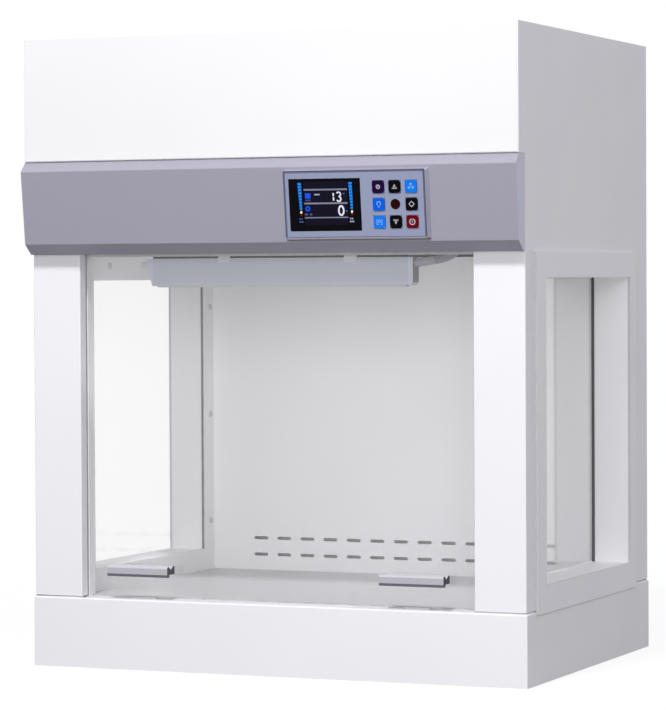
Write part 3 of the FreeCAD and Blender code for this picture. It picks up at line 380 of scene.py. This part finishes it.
def clear_glass(name, tint, roughness):
    """Clear glass that lets shadow and bounced light straight through."""
    material = bpy.data.materials.new(name)
    material.use_nodes = True
    tree = material.node_tree
    shader = tree.nodes["Principled BSDF"]
    shader.inputs["Transmission Weight"].default_value = 1
    shader.inputs["IOR"].default_value = 1.45
    shader.inputs["Base Color"].default_value = (*tint, 1)
    place = tree.nodes.new("ShaderNodeTexCoord").outputs["Object"]
    tree.links.new(noise(tree, place, 9, 3, 0, roughness), shader.inputs["Roughness"])
    passing = tree.nodes.new("ShaderNodeBsdfTransparent")
    passing.inputs["Color"].default_value = (0.97, 0.97, 0.97, 1)
    ray = tree.nodes.new("ShaderNodeLightPath").outputs
    straight = worked(tree, "MAXIMUM", ray["Is Shadow Ray"], ray["Is Diffuse Ray"])
    choice = tree.nodes.new("ShaderNodeMixShader")
    tree.links.new(straight, choice.inputs["Fac"])
    tree.links.new(shader.outputs[0], choice.inputs[1])
    tree.links.new(passing.outputs[0], choice.inputs[2])
    tree.links.new(choice.outputs[0], tree.nodes["Material Output"].inputs["Surface"])
    return material


dress(clear_glass("sash_pane_glass", (0.998, 1, 0.998), 0.01), "sash_glass")
dress(
    clear_glass("window_pane_glass", (1, 1, 1), 0.01),
    "left_window_pane",
    "right_window_pane",
)

# Sealant
# A dark bead of sealant runs down the outside of each pane's rear edge, and a pale one
# fills the joint between each side panel and the base.


def new_piece(name, points, faces, material, body):
    """Mesh of one material that rides on a body."""
    mesh = bpy.data.meshes.new(name)
    mesh.from_pydata(points.tolist(), [], faces)
    mesh.materials.append(material)
    piece = bpy.data.objects.new(name, mesh)
    scene.collection.objects.link(piece)
    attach(piece, body)
    return piece


def grid_faces(rows, columns, closed=False):
    """Four-sided faces between the points of a grid, whose rows may join end to end."""
    index = np.arange(rows * columns).reshape(rows, columns)
    if closed:
        index = np.concatenate([index, index[:, :1]], axis=1)
    corners = (index[:-1, :-1], index[:-1, 1:], index[1:, 1:], index[1:, :-1])
    return np.stack(corners, axis=-1).reshape(-1, 4)


def ringed_piece(name, points, material):
    """Smooth piece of the chassis over a stack of closed rings of points."""
    faces = grid_faces(*points.shape[:2], closed=True).tolist()
    piece = new_piece(name, points.reshape(-1, 3), faces, material, "chassis")
    piece.data.shade_smooth()
    return piece


def pane_bead(side):
    """Quarter-round bead up a corner: the corner's edge plus radius (cos a, -sin a)."""
    corner_x, corner_y, radius = 0.2557, 0.1585, 0.0028
    foot, top = 0.107, 0.444
    turn = np.linspace(0, math.pi / 2, 9)
    corner = np.array([(corner_x, corner_y)])
    fillet = corner + radius * np.stack([np.cos(turn), -np.sin(turn)], axis=1)
    section = np.concatenate([corner, fillet])
    level = np.linspace(foot, top, 12)
    points = np.zeros((len(level), len(section), 3))
    points[..., 0] = side * section[:, 0]
    points[..., 1] = section[:, 1]
    points[..., 2] = level[:, None]
    return points[:, ::side]


def joint_bead(side, path):
    """Hollow-faced strip along a path of corners in plan, drawn for the right side.

    Across its height h from -1 to 1 the face is path + inward hollow (1 - h h), and the
    rear is path + inward depth. The left side's strip has its X turned round.
    """
    joint_level, half_height = 0.081, 0.001
    inward = np.array((-1.425, 0.5))
    hollow, depth = 0.0004, 0.0016
    h = np.linspace(-1, 1, 7)[:, None]
    path = np.array(path, float)[:, None]
    face = path + inward * hollow * (1 - h**2)
    rear = np.broadcast_to(path + inward * depth, face.shape)
    plan = np.concatenate([face, rear[:, ::-1]], axis=1) * (side, 1)
    ring_level = joint_level + half_height * np.concatenate([h, h[::-1]])
    level = np.broadcast_to(ring_level, (*plan.shape[:2], 1))
    return np.concatenate([plan, level], axis=-1)[:, ::-side]


dark_sealant = finish("dark_sealant", (0.11, 0.112, 0.115), 0.7, grain=1400, specular=0.2)
pale_sealant = finish("pale_sealant", (0.6, 0.6, 0.61), 0.6, grain=1400, specular=0.2)
panel_side = 0.2996
front_path = [(0.241, -0.1976), (panel_side, -0.1976), (panel_side, -0.169)]
rear_path = [(panel_side, 0.181), (panel_side, 0.2315)]
for hand, side in (("left", -1), ("right", 1)):
    ringed_piece(f"{hand}_pane_bead", pane_bead(side), dark_sealant)
    for end_name, path in (("front", front_path), ("rear", rear_path)):
        ringed_piece(
            f"{hand}_{end_name}_joint", joint_bead(side, path), pale_sealant
        )

# Fascia
# The leaning fascia is a folded box with a mid-grey coat, closed at both ends by caps.
# The caps' end faces are drawn in a lighter grey as a painted highlight.

fascia_coat = finish("fascia_coat", (0.325, 0.315, 0.375), 0.45, clouding=0.012)
# Faces looking sideways get a lighter grey: a painted highlight on the fascia's ends.
colour_where(fascia_coat, end_mask(fascia_coat), (0.63, 0.625, 0.73))
dress(fascia_coat, "fascia")

# Control panel
# A tapered bezel of light moulded plastic holds a satin film plate with a display, a
# receiver window and eight keys. All of it leans with the fascia.

panel_lean = math.atan(9.5 / 82.8)
panel_foot = Vector((0, -0.2176, 0.4845))
panel_face = 7.0


def down_mask(material, least):
    """1 on faces that look down by at least this much."""
    tree = material.node_tree
    split = tree.nodes.new("ShaderNodeSeparateXYZ")
    normal = tree.nodes.new("ShaderNodeNewGeometry").outputs["True Normal"]
    tree.links.new(normal, split.inputs[0])
    return worked(tree, "LESS_THAN", split.outputs["Z"], -least)


plate_colour = (0.28, 0.31, 0.435)
bezel_plastic = finish("bezel_plastic", (0.27, 0.27, 0.33), 0.5, grain=1600)
# Facets looking sideways get a lighter grey as a painted highlight.
colour_where(bezel_plastic, end_mask(bezel_plastic, 0.5), (0.42, 0.42, 0.5))
# Facets looking down get a darker grey as painted shade.
colour_where(bezel_plastic, down_mask(bezel_plastic, 0.5), (0.15, 0.15, 0.185))
dress(bezel_plastic, "control_bezel")
dress(
    finish("plate_film", plate_colour, 0.4, grain=2500, depth=0.00001, specular=0.3),
    "control_plate",
)
dress(
    finish("display_film", (0.002, 0.002, 0.004), 0.2, depth=0.0, specular=0.04),
    "display_screen",
)
dress(
    finish("receiver_film", (0.02, 0.0005, 0.001), 0.25, depth=0.0, specular=0.05),
    "receiver_window",
)
dress(finish("board_resin", (0.02, 0.12, 0.05), 0.5), "control_board")

out_way = Vector((0, -math.cos(panel_lean), -math.sin(panel_lean)))
panel_up = Vector((0, -math.sin(panel_lean), math.cos(panel_lean)))


def distance_along(tree, place, way):
    """How far a place lies along a way."""
    step = tree.nodes.new("ShaderNodeVectorMath")
    step.operation = "DOT_PRODUCT"
    step.inputs[1].default_value = way
    tree.links.new(place, step.inputs[0])
    return step.outputs["Value"]


proud_group, start, end = new_group(
    "height_over_panel",
    (("Place", "NodeSocketVector", None),),
    (("Height", "NodeSocketFloat"),),
)
proud = distance_along(proud_group, start.outputs["Place"], out_way)
proud = worked(proud_group, "SUBTRACT", proud, panel_foot.dot(out_way))
proud_group.links.new(proud, end.inputs["Height"])

square_group, start, end = new_group(
    "outside_rounded_square",
    (
        ("Place", "NodeSocketVector", None),
        ("Centre", "NodeSocketVector", None),
        ("Straight", "NodeSocketFloat", 0.0044),
        ("Corner", "NodeSocketFloat", 0.0026),
    ),
    (("Mask", "NodeSocketFloat"),),
)
from_centre = square_group.nodes.new("ShaderNodeVectorMath")
from_centre.operation = "SUBTRACT"
square_group.links.new(start.outputs["Place"], from_centre.inputs[0])
square_group.links.new(start.outputs["Centre"], from_centre.inputs[1])
squares = []
for way in (Vector((1, 0, 0)), panel_up):
    reach = distance_along(square_group, from_centre.outputs[0], way)
    reach = worked(square_group, "ABSOLUTE", reach)
    reach = worked(square_group, "SUBTRACT", reach, start.outputs["Straight"])
    reach = worked(square_group, "MAXIMUM", reach, 0)
    squares.append(worked(square_group, "POWER", reach, 2))
length = worked(square_group, "SQRT", worked(square_group, "ADD", *squares))
outside = worked(square_group, "GREATER_THAN", length, start.outputs["Corner"])
square_group.links.new(outside, end.inputs["Mask"])

black_film = (0.001, 0.001, 0.002)
keys = {
    "lamp_key": (-1, 1, (0.012, 0.0015, 0.035)),
    "raise_key": (0, 1, black_film),
    "fan_key": (1, 1, (0.01, 0.18, 0.75)),
    "light_key": (-1, 0, (0.004, 0.11, 0.66)),
    "dim_key": (1, 0, black_film),
    "mute_key": (-1, -1, (0.01, 0.18, 0.78)),
    "lower_key": (0, -1, black_film),
    "power_key": (1, -1, (0.13, 0.0015, 0.005)),
}
key_column, key_row, key_pitch = 162.1, 41.2, 19.2
key_face = 7.85
flange_level = 0.0056
key_middles = {}
for key, (column, row, colour) in keys.items():
    film = finish(f"{key}_film", colour, 0.35, grain=2500, depth=0.00001, specular=0.05)
    tree = film.node_tree
    place = tree.nodes.new("ShaderNodeTexCoord").outputs["Object"]
    proud = tree.nodes.new("ShaderNodeGroup")
    proud.node_tree = proud_group
    tree.links.new(place, proud.inputs["Place"])
    below = worked(tree, "LESS_THAN", proud.outputs["Height"], flange_level)
    across, climb = key_column + column * key_pitch, key_row + row * key_pitch
    key_middles[key] = (across, climb)
    middle = panel_foot + (Vector((across, 0, 0)) + panel_up * climb) / 1000
    square = tree.nodes.new("ShaderNodeGroup")
    square.node_tree = square_group
    square.inputs["Centre"].default_value = middle
    tree.links.new(place, square.inputs["Place"])
    bare = worked(tree, "MAXIMUM", below, square.outputs["Mask"])
    colour_where(film, bare, plate_colour)
    dress(film, key)

# Marks on the panel
# The display's lit bars, lines, signs and digits are thin prints that stand a few
# hundredths of a millimetre proud of their faces. A dark strip along the plate's top and
# sides, made the same way, is painted shade from the bezel's recess.


def arc(centre, radius, start, stop, count=20):
    """Points on a circle: centre + radius (cos a, sin a) for evenly spaced angles."""
    angles = np.radians(np.linspace(start, stop, count))
    return np.array(centre) + radius * np.stack([np.cos(angles), np.sin(angles)], axis=1)


def ring(centre, inner, outer, start=0, stop=360):
    """Ring sectors: an outer arc and an inner arc run back, in two halves."""
    half = (start + stop) / 2
    return [
        np.concatenate([arc(centre, outer, a, b), arc(centre, inner, b, a)])
        for a, b in ((start, half), (half, stop))
    ]


def disc(centre, radius):
    """A full circle of points."""
    return arc(centre, radius, 0, 345, 24)


def bar(left, low, right, high):
    """A rectangle."""
    return np.array([(left, low), (right, low), (right, high), (left, high)])


def stroke(a, b, width):
    """A bar of this width from a to b: each end moved half a width to either side."""
    a, b = np.array(a, float), np.array(b, float)
    side = np.array([a[1] - b[1], b[0] - a[0]])
    side *= width / 2 / np.hypot(*side)
    return np.array([a - side, b - side, b + side, a + side])


print_thickness = 0.05


def panel_marks(name, outlines, level, material, body):
    """Thin prints on the leaning panel, in millimetres from the panel's foot.

    Each outline runs once at the face and once raised by the print's thickness, and
    every point (x, out, up) goes to foot + up (0, -sin, cos) - out (0, cos, sin).
    """
    points = []
    faces = []
    for outline in outlines:
        outline = np.array(outline, float)
        following = np.roll(outline, -1, axis=0)
        area = np.sum(outline[:, 0] * following[:, 1] - outline[:, 1] * following[:, 0])
        if area < 0:
            outline = outline[::-1]
        count = len(outline)
        base = sum(len(part) for part in points)
        for out in (level, level + print_thickness):
            points.append(np.insert(outline, 1, out, axis=1))
        front = np.arange(base + count, base + 2 * count)
        back = np.arange(base, base + count)
        faces.append(front.tolist())
        faces.append(back[::-1].tolist())
        ahead_front, ahead_back = np.roll(front, -1), np.roll(back, -1)
        faces.extend(np.stack([back, ahead_back, ahead_front, front], axis=1).tolist())
    flat = np.concatenate(points) / 1000
    lean = np.array([math.sin(panel_lean), math.cos(panel_lean)])
    place = np.array(panel_foot) + np.stack(
        [
            flat[:, 0],
            -flat[:, 2] * lean[0] - flat[:, 1] * lean[1],
            flat[:, 2] * lean[1] - flat[:, 1] * lean[0],
        ],
        axis=1,
    )
    new_piece(name, place, faces, material, body)


def lit_print(name, colour, light):
    """Print that glows faintly and evenly, with a fine cell grain."""
    material = finish(name, colour, 0.35, grain=3000, depth=0.00001, specular=0.05)
    shader = material.node_tree.nodes["Principled BSDF"]
    shader.inputs["Emission Color"].default_value = (*colour, 1)
    shader.inputs["Emission Strength"].default_value = light
    return material


display_left = 36.5
display_top = 70.2


def on_display(left, top, right, low):
    """A bar given from the display's top left corner."""
    return bar(display_left + left, display_top - low, display_left + right, display_top - top)


white_light = lit_print("white_light", (0.6, 0.62, 0.67), 0.25)
blue_light = lit_print("blue_light", (0.015, 0.2, 0.68), 0.25)
deep_blue_light = lit_print("deep_blue_light", (0.01, 0.07, 0.6), 0.3)
grey_light = lit_print("grey_light", (0.17, 0.175, 0.23), 0.3)
mark_light = lit_print("mark_light", (0.3, 0.32, 0.42), 0.3)
faint_light = lit_print("faint_light", (0.06, 0.075, 0.2), 0.25)
dim_light = lit_print("dim_light", (0.005, 0.004, 0.012), 0.2)
yellow_light = lit_print("yellow_light", (0.75, 0.72, 0.35), 0.4)
red_light = lit_print("red_light", (0.18, 0.004, 0.012), 0.4)

bar_columns = ((10.8, 15.1), (71.3, 75.5))
bar_top = 4.2
bar_pitch = 3.35
bar_cell = 2.6
bar_narrowing = 0.18
blue_cells = []
yellow_cells = []
red_cells = []
pale_marks = []
faint_marks = []
for left, far in bar_columns:
    for step in range(9):
        top = bar_top + step * bar_pitch
        blue_cells.append(on_display(left + step * bar_narrowing, top, far, top + bar_cell))
    yellow_cells.append(on_display(left + 1.9, 35.1, far - 0.3, 37.9))
    red_cells.append(on_display(left + 2.2, 38.8, far - 0.4, 40.5))
for left, top in ((71.6, 43.2), (73.9, 43.2), (71.2, 46.4), (73.0, 46.4), (74.8, 46.4)):
    pale_marks.append(on_display(left, top, left + 1.4, top + 1.7))
for left, top in ((11.2, 43.2), (13.6, 43.2), (11.0, 46.4), (12.8, 46.4), (14.6, 46.4)):
    faint_marks.append(on_display(left, top, left + 1.4, top + 1.6))

line_left, line_right = 17.8, 69.4
grey_lines = [
    on_display(line_left, top, line_right, low)
    for top, low in ((11, 12.8), (26, 27.9), (42, 43.3))
]
dim_fields = [
    on_display(line_left, top, line_right, low)
    for top, low in ((3.0, 10.8), (13.0, 25.8), (28.1, 41.8), (43.6, 51.0))
]

panel_marks("display_fields", dim_fields, panel_face, dim_light, "chassis")
panel_marks("display_lines", grey_lines, panel_face, grey_light, "chassis")
panel_marks(
    "display_yellow_cells", yellow_cells, panel_face, yellow_light, "chassis"
)
panel_marks("display_red_cells", red_cells, panel_face, red_light, "chassis")
panel_marks("display_blue_cells", blue_cells, panel_face, blue_light, "chassis")

sign_level = panel_face + 0.06


def display_point(x, y):
    """A point given from the display's top left corner."""
    return (display_left + x, display_top - y)


blue_signs = [on_display(19.2, 15.7, 25.8, 21.5), *ring(display_point(21.9, 32.7), 1.3, 3.0)]
panel_marks(
    "display_blue_signs", blue_signs, sign_level, deep_blue_light, "chassis"
)

one = [on_display(52.0, 15.9, 53.8, 19.3), on_display(52.2, 20.3, 54.0, 24.1)]
three = [
    *ring(display_point(59.2, 17.3), 1.5, 3.1, -90, 155),
    *ring(display_point(59.4, 22.5), 1.6, 3.3, -155, 90),
]
nought = ring(display_point(61.6, 35.2), np.array((1.9, 3.9)), np.array((3.9, 6.0)))
panel_marks(
    "display_digits",
    [*one, *three, *nought],
    sign_level,
    white_light,
    "chassis",
)
pale_marks.append(on_display(30.4, 16.5, 36.8, 18.0))
panel_marks("display_pale_signs", pale_marks, sign_level, mark_light, "chassis")
faint_marks += [
    on_display(19.8, 22.6, 22.0, 24.4),
    on_display(23.2, 22.6, 25.4, 24.4),
    on_display(17.8, 38.0, 21.6, 39.9),
    on_display(24.0, 38.0, 27.0, 39.9),
    on_display(64.0, 15.8, 66.4, 17.2),
    on_display(67.2, 35.0, 69.2, 36.8),
]
panel_marks(
    "display_small_signs", faint_marks, sign_level, faint_light, "chassis"
)

# The dark strip along the plate's top and sides is painted shade from the bezel's recess.
border_left, border_right, border_low, border_high = 30.3, 197.7, 5.6, 79.1
border_width = 1.5
plate_recess_shade = [
    bar(border_left, border_high - border_width, border_right, border_high),
    bar(border_left, border_low, border_left + border_width, border_high - border_width),
    bar(border_right - border_width, border_low, border_right, border_high - border_width),
]
recess_shade_print = finish("recess_shade_print", (0.09, 0.095, 0.17), 0.5, depth=0.00001, specular=0.1)
panel_marks("plate_recess_shade", plate_recess_shade, panel_face, recess_shade_print, "chassis")

# Key signs
# White and pale blue signs are printed on the key caps and ride with their keys. Each is
# drawn in millimetres from the middle of its key.

blade_reach, blade_radius = 2.3, 1.5
fan_blades = [
    arc(arc((0, 0), blade_reach, turn, turn, 1)[0], blade_radius, turn - 90, turn + 130)
    for turn in (90, 210, 330)
]
line_width = 0.8
ray_near, ray_far = 2.9, 3.6
sun_rays = [
    stroke(np.array(way) * ray_near, np.array(way) * ray_far, line_width)
    for way in ((1, 0), (0, 1), (-1, 0), (0, -1))
]
key_signs = {
    "lamp_key": [*ring((0, 0), 1.3, 2.5), disc((0, 0), 0.6)],
    "raise_key": [np.array([(-1.7, -0.3), (1.7, -0.3), (0, 2.8)]), bar(-3.0, -2.4, 3.0, -1.2)],
    "fan_key": [*fan_blades, disc((0, 0), 0.7)],
    "light_key": [
        *ring((0, 0.9), 1.7, 2.6, -55, 235),
        bar(-1.1, -2.3, 1.1, -1.6),
        bar(-0.8, -3.3, 0.8, -2.7),
    ],
    "dim_key": [*ring((0, 0), 1.9, 2.8), *sun_rays],
    "mute_key": [
        stroke((-3.0, 2.8), (-3.0, -2.8), line_width),
        stroke((3.0, 2.8), (3.0, -2.8), line_width),
        stroke((-3.0, -2.6), (-1.2, -2.6), line_width),
        stroke((1.2, -2.6), (3.0, -2.6), line_width),
        *ring((0, 0.8), 0.9, 1.7),
    ],
    "lower_key": [bar(-3.0, 1.3, 3.0, 2.5), np.array([(-1.7, 0.5), (0, -2.8), (1.7, 0.5)])],
    "power_key": [*ring((0, -0.2), 2.4, 3.6, 100, 440), bar(-0.5, -0.8, 0.5, 1.2)],
}
# The key signs' faint glow is painted light.
white_print = lit_print("white_print", (0.42, 0.42, 0.47), 0.05)
pale_print = lit_print("pale_print", (0.22, 0.42, 0.9), 0.05)
pale_keys = ("light_key", "mute_key", "fan_key")
for key, outlines in key_signs.items():
    panel_marks(
        f"{key}_sign",
        [np.array(outline, float) + key_middles[key] for outline in outlines],
        key_face - print_thickness,
        pale_print if key in pale_keys else white_print,
        f"{key}_cap",
    )

# Handles
# Each handle is a cut length of anodised aluminium section with a front lip and a groove
# along its top and a dark strip under its front. Its top is drawn lighter as a painted
# highlight, and its end faces near black as painted shade.


def over_level(material, level):
    """1 above a height."""
    tree = material.node_tree
    split = tree.nodes.new("ShaderNodeSeparateXYZ")
    tree.links.new(tree.nodes.new("ShaderNodeTexCoord").outputs["Object"], split.inputs[0])
    return worked(tree, "GREATER_THAN", split.outputs["Z"], level)


lip_highlight_level = 0.1162
handle_metal = finish("handle_metal", (0.47, 0.465, 0.51), 0.42, metallic=0.25, grain=500)
# Above this level the handle is drawn lighter: a painted highlight along its top.
colour_where(handle_metal, over_level(handle_metal, lip_highlight_level), (0.62, 0.62, 0.65))
# Faces looking sideways are drawn near black: painted shade on the handle's ends.
colour_where(handle_metal, end_mask(handle_metal), (0.055, 0.052, 0.07))
dress(handle_metal, "left_handle", "right_handle")
grip_rubber = finish("grip_rubber", (0.14, 0.13, 0.155), 0.7, grain=1400, specular=0.2)
dress(grip_rubber, "handle_grips")

# Sash guides and buffers
# Grey plastic channels stand in the slots behind the posts, and two pale grey nylon pads
# carry the closed sash.

dress(finish("guide_plastic", (0.5, 0.5, 0.52), 0.5), "left_sash_guide", "right_sash_guide")
dress(finish("buffer_nylon", (0.62, 0.62, 0.63), 0.5), "sash_buffers")

# Lamp
# A coated batten with an opal strip below hangs from two clips, and a grey boot leads out
# of its right end. The batten's top is drawn near black as painted shade under the
# ceiling, and the end caps' end faces darker as painted shade.

shaded_top_level = 0.4679
lamp_coat = finish("lamp_coat", (0.59, 0.615, 0.69), 0.4)
# Above this level the batten is drawn near black: painted shade in the gap under the ceiling.
colour_where(lamp_coat, over_level(lamp_coat, shaded_top_level), (0.03, 0.03, 0.05))
dress(lamp_coat, "lamp_housing")
cap_plastic = finish("lamp_cap_plastic", (0.67, 0.69, 0.78), 0.5)
# The caps' end faces get a darker grey as painted shade.
colour_where(cap_plastic, end_mask(cap_plastic), (0.3, 0.29, 0.345))
dress(cap_plastic, "lamp_end_caps")
dress(finish("boot_rubber", (0.4, 0.385, 0.44), 0.6, specular=0.3), "lamp_boot")
dress(finish("opal_strip", (0.55, 0.57, 0.6), 0.3, coat=0.3), "lamp_diffuser")
dress(finish("clip_coat", (0.75, 0.75, 0.8), 0.4), "lamp_clips")

# Lamp lead
# A corrugated plastic sleeve holds the lamp's lead. It leaves the boot and curves up
# through the ceiling.


def sleeve_points(start, lean, climb, end, radius, ridge, pitch):
    """Ridged tube along a curve B in the plane of X and Z.

    B(t) = (1-t)^3 start + 3 (1-t)^2 t lean + 3 (1-t) t^2 climb + t^3 end, and the ring
    at distance s along it has the radius: radius + ridge cos(2 pi s / pitch).
    """
    t = np.linspace(0, 1, 181)[:, None]
    line = (
        (1 - t) ** 3 * start
        + 3 * (1 - t) ** 2 * t * lean
        + 3 * (1 - t) * t**2 * climb
        + t**3 * end
    )
    along = np.gradient(line, axis=0)
    steps = np.linalg.norm(along, axis=1)
    along /= steps[:, None]
    distance = np.concatenate([[0], np.cumsum((steps[1:] + steps[:-1]) / 2)])
    across = np.stack([-along[:, 2], np.zeros(len(t)), along[:, 0]], axis=1)
    depth = np.array([0, 1, 0])
    reach = radius + ridge * np.cos(2 * math.pi * distance / pitch)
    turn = np.linspace(0, 2 * math.pi, 28, endpoint=False)
    ring_way = (
        across[:, None] * np.cos(turn)[None, :, None] + depth * np.sin(turn)[None, :, None]
    )
    return line[:, None] + ring_way * reach[:, None, None]


sleeve_path = [
    np.array(point) / 1000
    for point in (
        (179.0, -153.1, 463.9),
        (190.0, -153.1, 465.6),
        (201.0, -153.1, 468.2),
        (206.5, -153.1, 476.4),
    )
]
sleeve = ringed_piece(
    "lead_sleeve",
    sleeve_points(*sleeve_path, radius=0.0041, ridge=0.0005, pitch=0.0026),
    finish("sleeve_plastic", (0.36, 0.345, 0.4), 0.5, specular=0.3),
)
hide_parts("lamp_lead")

# Screws
# Low domed steel screws with a cross recess hold the back cover, where they are plated,
# and the chamber's liners, where they are coated.


def head_points(radius, height, recess, slit, arm):
    """Domed screw head over a disc, with a cross sunk into it.

    A square (u, v) is drawn to the disc as u sqrt(1 - v v / 2), v sqrt(1 - u u / 2). The
    height is height sqrt(1 - r^5), less recess where a point lies within the cross.
    """
    side = np.linspace(-1, 1, 37)
    u, v = np.meshgrid(side, side)
    x = u * np.sqrt(1 - v**2 / 2)
    y = v * np.sqrt(1 - u**2 / 2)
    dome = height * np.sqrt(np.clip(1 - np.hypot(x, y) ** 5, 0, 1))
    near = np.minimum(np.abs(x), np.abs(y)) * radius
    far = np.maximum(np.abs(x), np.abs(y)) * radius
    cross = np.clip((slit - near) / 0.0002, 0, 1) * np.clip((arm - far) / 0.0006, 0, 1)
    return np.stack([x * radius, y * radius, dome - recess * cross], axis=-1)


def screw_row(name, places, way, sideways, material, node):
    """One piece of screw heads at places, with their domes facing a way."""
    way, sideways = np.array(way, float), np.array(sideways, float)
    axes = np.stack([sideways, np.cross(way, sideways), way])
    head = head_points(radius=0.004, height=0.0018, recess=0.0009, slit=0.0005, arm=0.0022)
    face = grid_faces(*head.shape[:2])
    head = (head @ axes).reshape(-1, 3)
    points = (np.array(places)[:, None] + head).reshape(-1, 3)
    faces = (np.arange(len(places))[:, None, None] * len(head) + face).reshape(-1, 4)
    piece = new_piece(name, points, faces.tolist(), material, "chassis")
    piece.data.shade_smooth()
    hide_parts(node)


screw_steel = finish("screw_steel", (0.6, 0.6, 0.62), 0.32, metallic=0.9, grain=1500)
cover_places = [(x, 0.2319, z) for x in (-0.2896, 0, 0.2896) for z in (0.091, 0.36, 0.7098)]
screw_row("back_cover_screws", cover_places, (0, 1, 0), (1, 0, 0), screw_steel, "cover_screws")
coated_steel = finish("coated_steel", (0.6, 0.6, 0.61), 0.4)
liner_rows = [(0.1754, z) for z in (0.142, 0.2755, 0.409)] + [(-0.0977, 0.46), (0.1174, 0.46)]
for hand, side in (("left", -1), ("right", 1)):
    screw_row(
        f"{hand}_liner_screws",
        [(side * 0.2525, y, z) for y, z in liner_rows],
        (-side, 0, 0),
        (0, 1, 0),
        coated_steel,
        "liner_screws",
    )

# Power inlet
# A black moulded inlet is flanged to the back of the head, and its three plated pins have
# rounded tips.

black_plastic = finish("black_plastic", (0.015, 0.015, 0.017), 0.45)
dress(black_plastic, "power_inlet")


def pin_points(x, z, width, height, near, far):
    """Flat pin along Y whose section, a squared oval, shrinks near its tip.

    The section's points are width cos^(1/2) t, height sin^(1/2) t, signs kept, times
    (1 - q^8)^(1/2) for q from 0 at the pin's foot to 1 at its tip.
    """
    q = np.linspace(0, 1, 24)[:, None]
    turn = np.linspace(0, 2 * math.pi, 24, endpoint=False)[None]
    shrink = np.sqrt(1 - q**8)
    wide = np.sign(np.cos(turn)) * np.abs(np.cos(turn)) ** 0.5
    tall = np.sign(np.sin(turn)) * np.abs(np.sin(turn)) ** 0.5
    return np.stack(
        [
            x + width / 2 * wide * shrink,
            near + (far - near) * q + 0 * turn,
            z + height / 2 * tall * shrink,
        ],
        axis=-1,
    )


for name, x, z in (("live", 0.208, 0.638), ("neutral", 0.222, 0.638), ("earth", 0.215, 0.643)):
    pin = pin_points(x, z, width=0.002, height=0.004, near=0.2190, far=0.2312)
    ringed_piece(f"inlet_{name}_pin", pin[:, ::-1], screw_steel)

# Inside of the head
# Galvanised sheets carry the filter mat, the cartridge in its black case, the black fan
# wheel and its motor. Hardly any of it shows from outside.

inner_steel = finish(
    "inner_steel", (0.6, 0.62, 0.63), 0.4, metallic=0.8, grain=120, clouding=0.08
)
dress(inner_steel, "filter_frame", "fan_deck", "inlet_ring", "motor_bracket", "power_supply")
dress(finish("filter_mat", (0.75, 0.76, 0.75), 0.95, grain=600, depth=0.0006), "pre_filter")
dress(finish("cartridge_board", (0.02, 0.02, 0.022), 0.6), "carbon_filter")
dress(finish("fan_plastic", (0.02, 0.02, 0.022), 0.5), "fan_wheel")
dress(finish("motor_coat", (0.03, 0.03, 0.033), 0.4), "fan_motor")
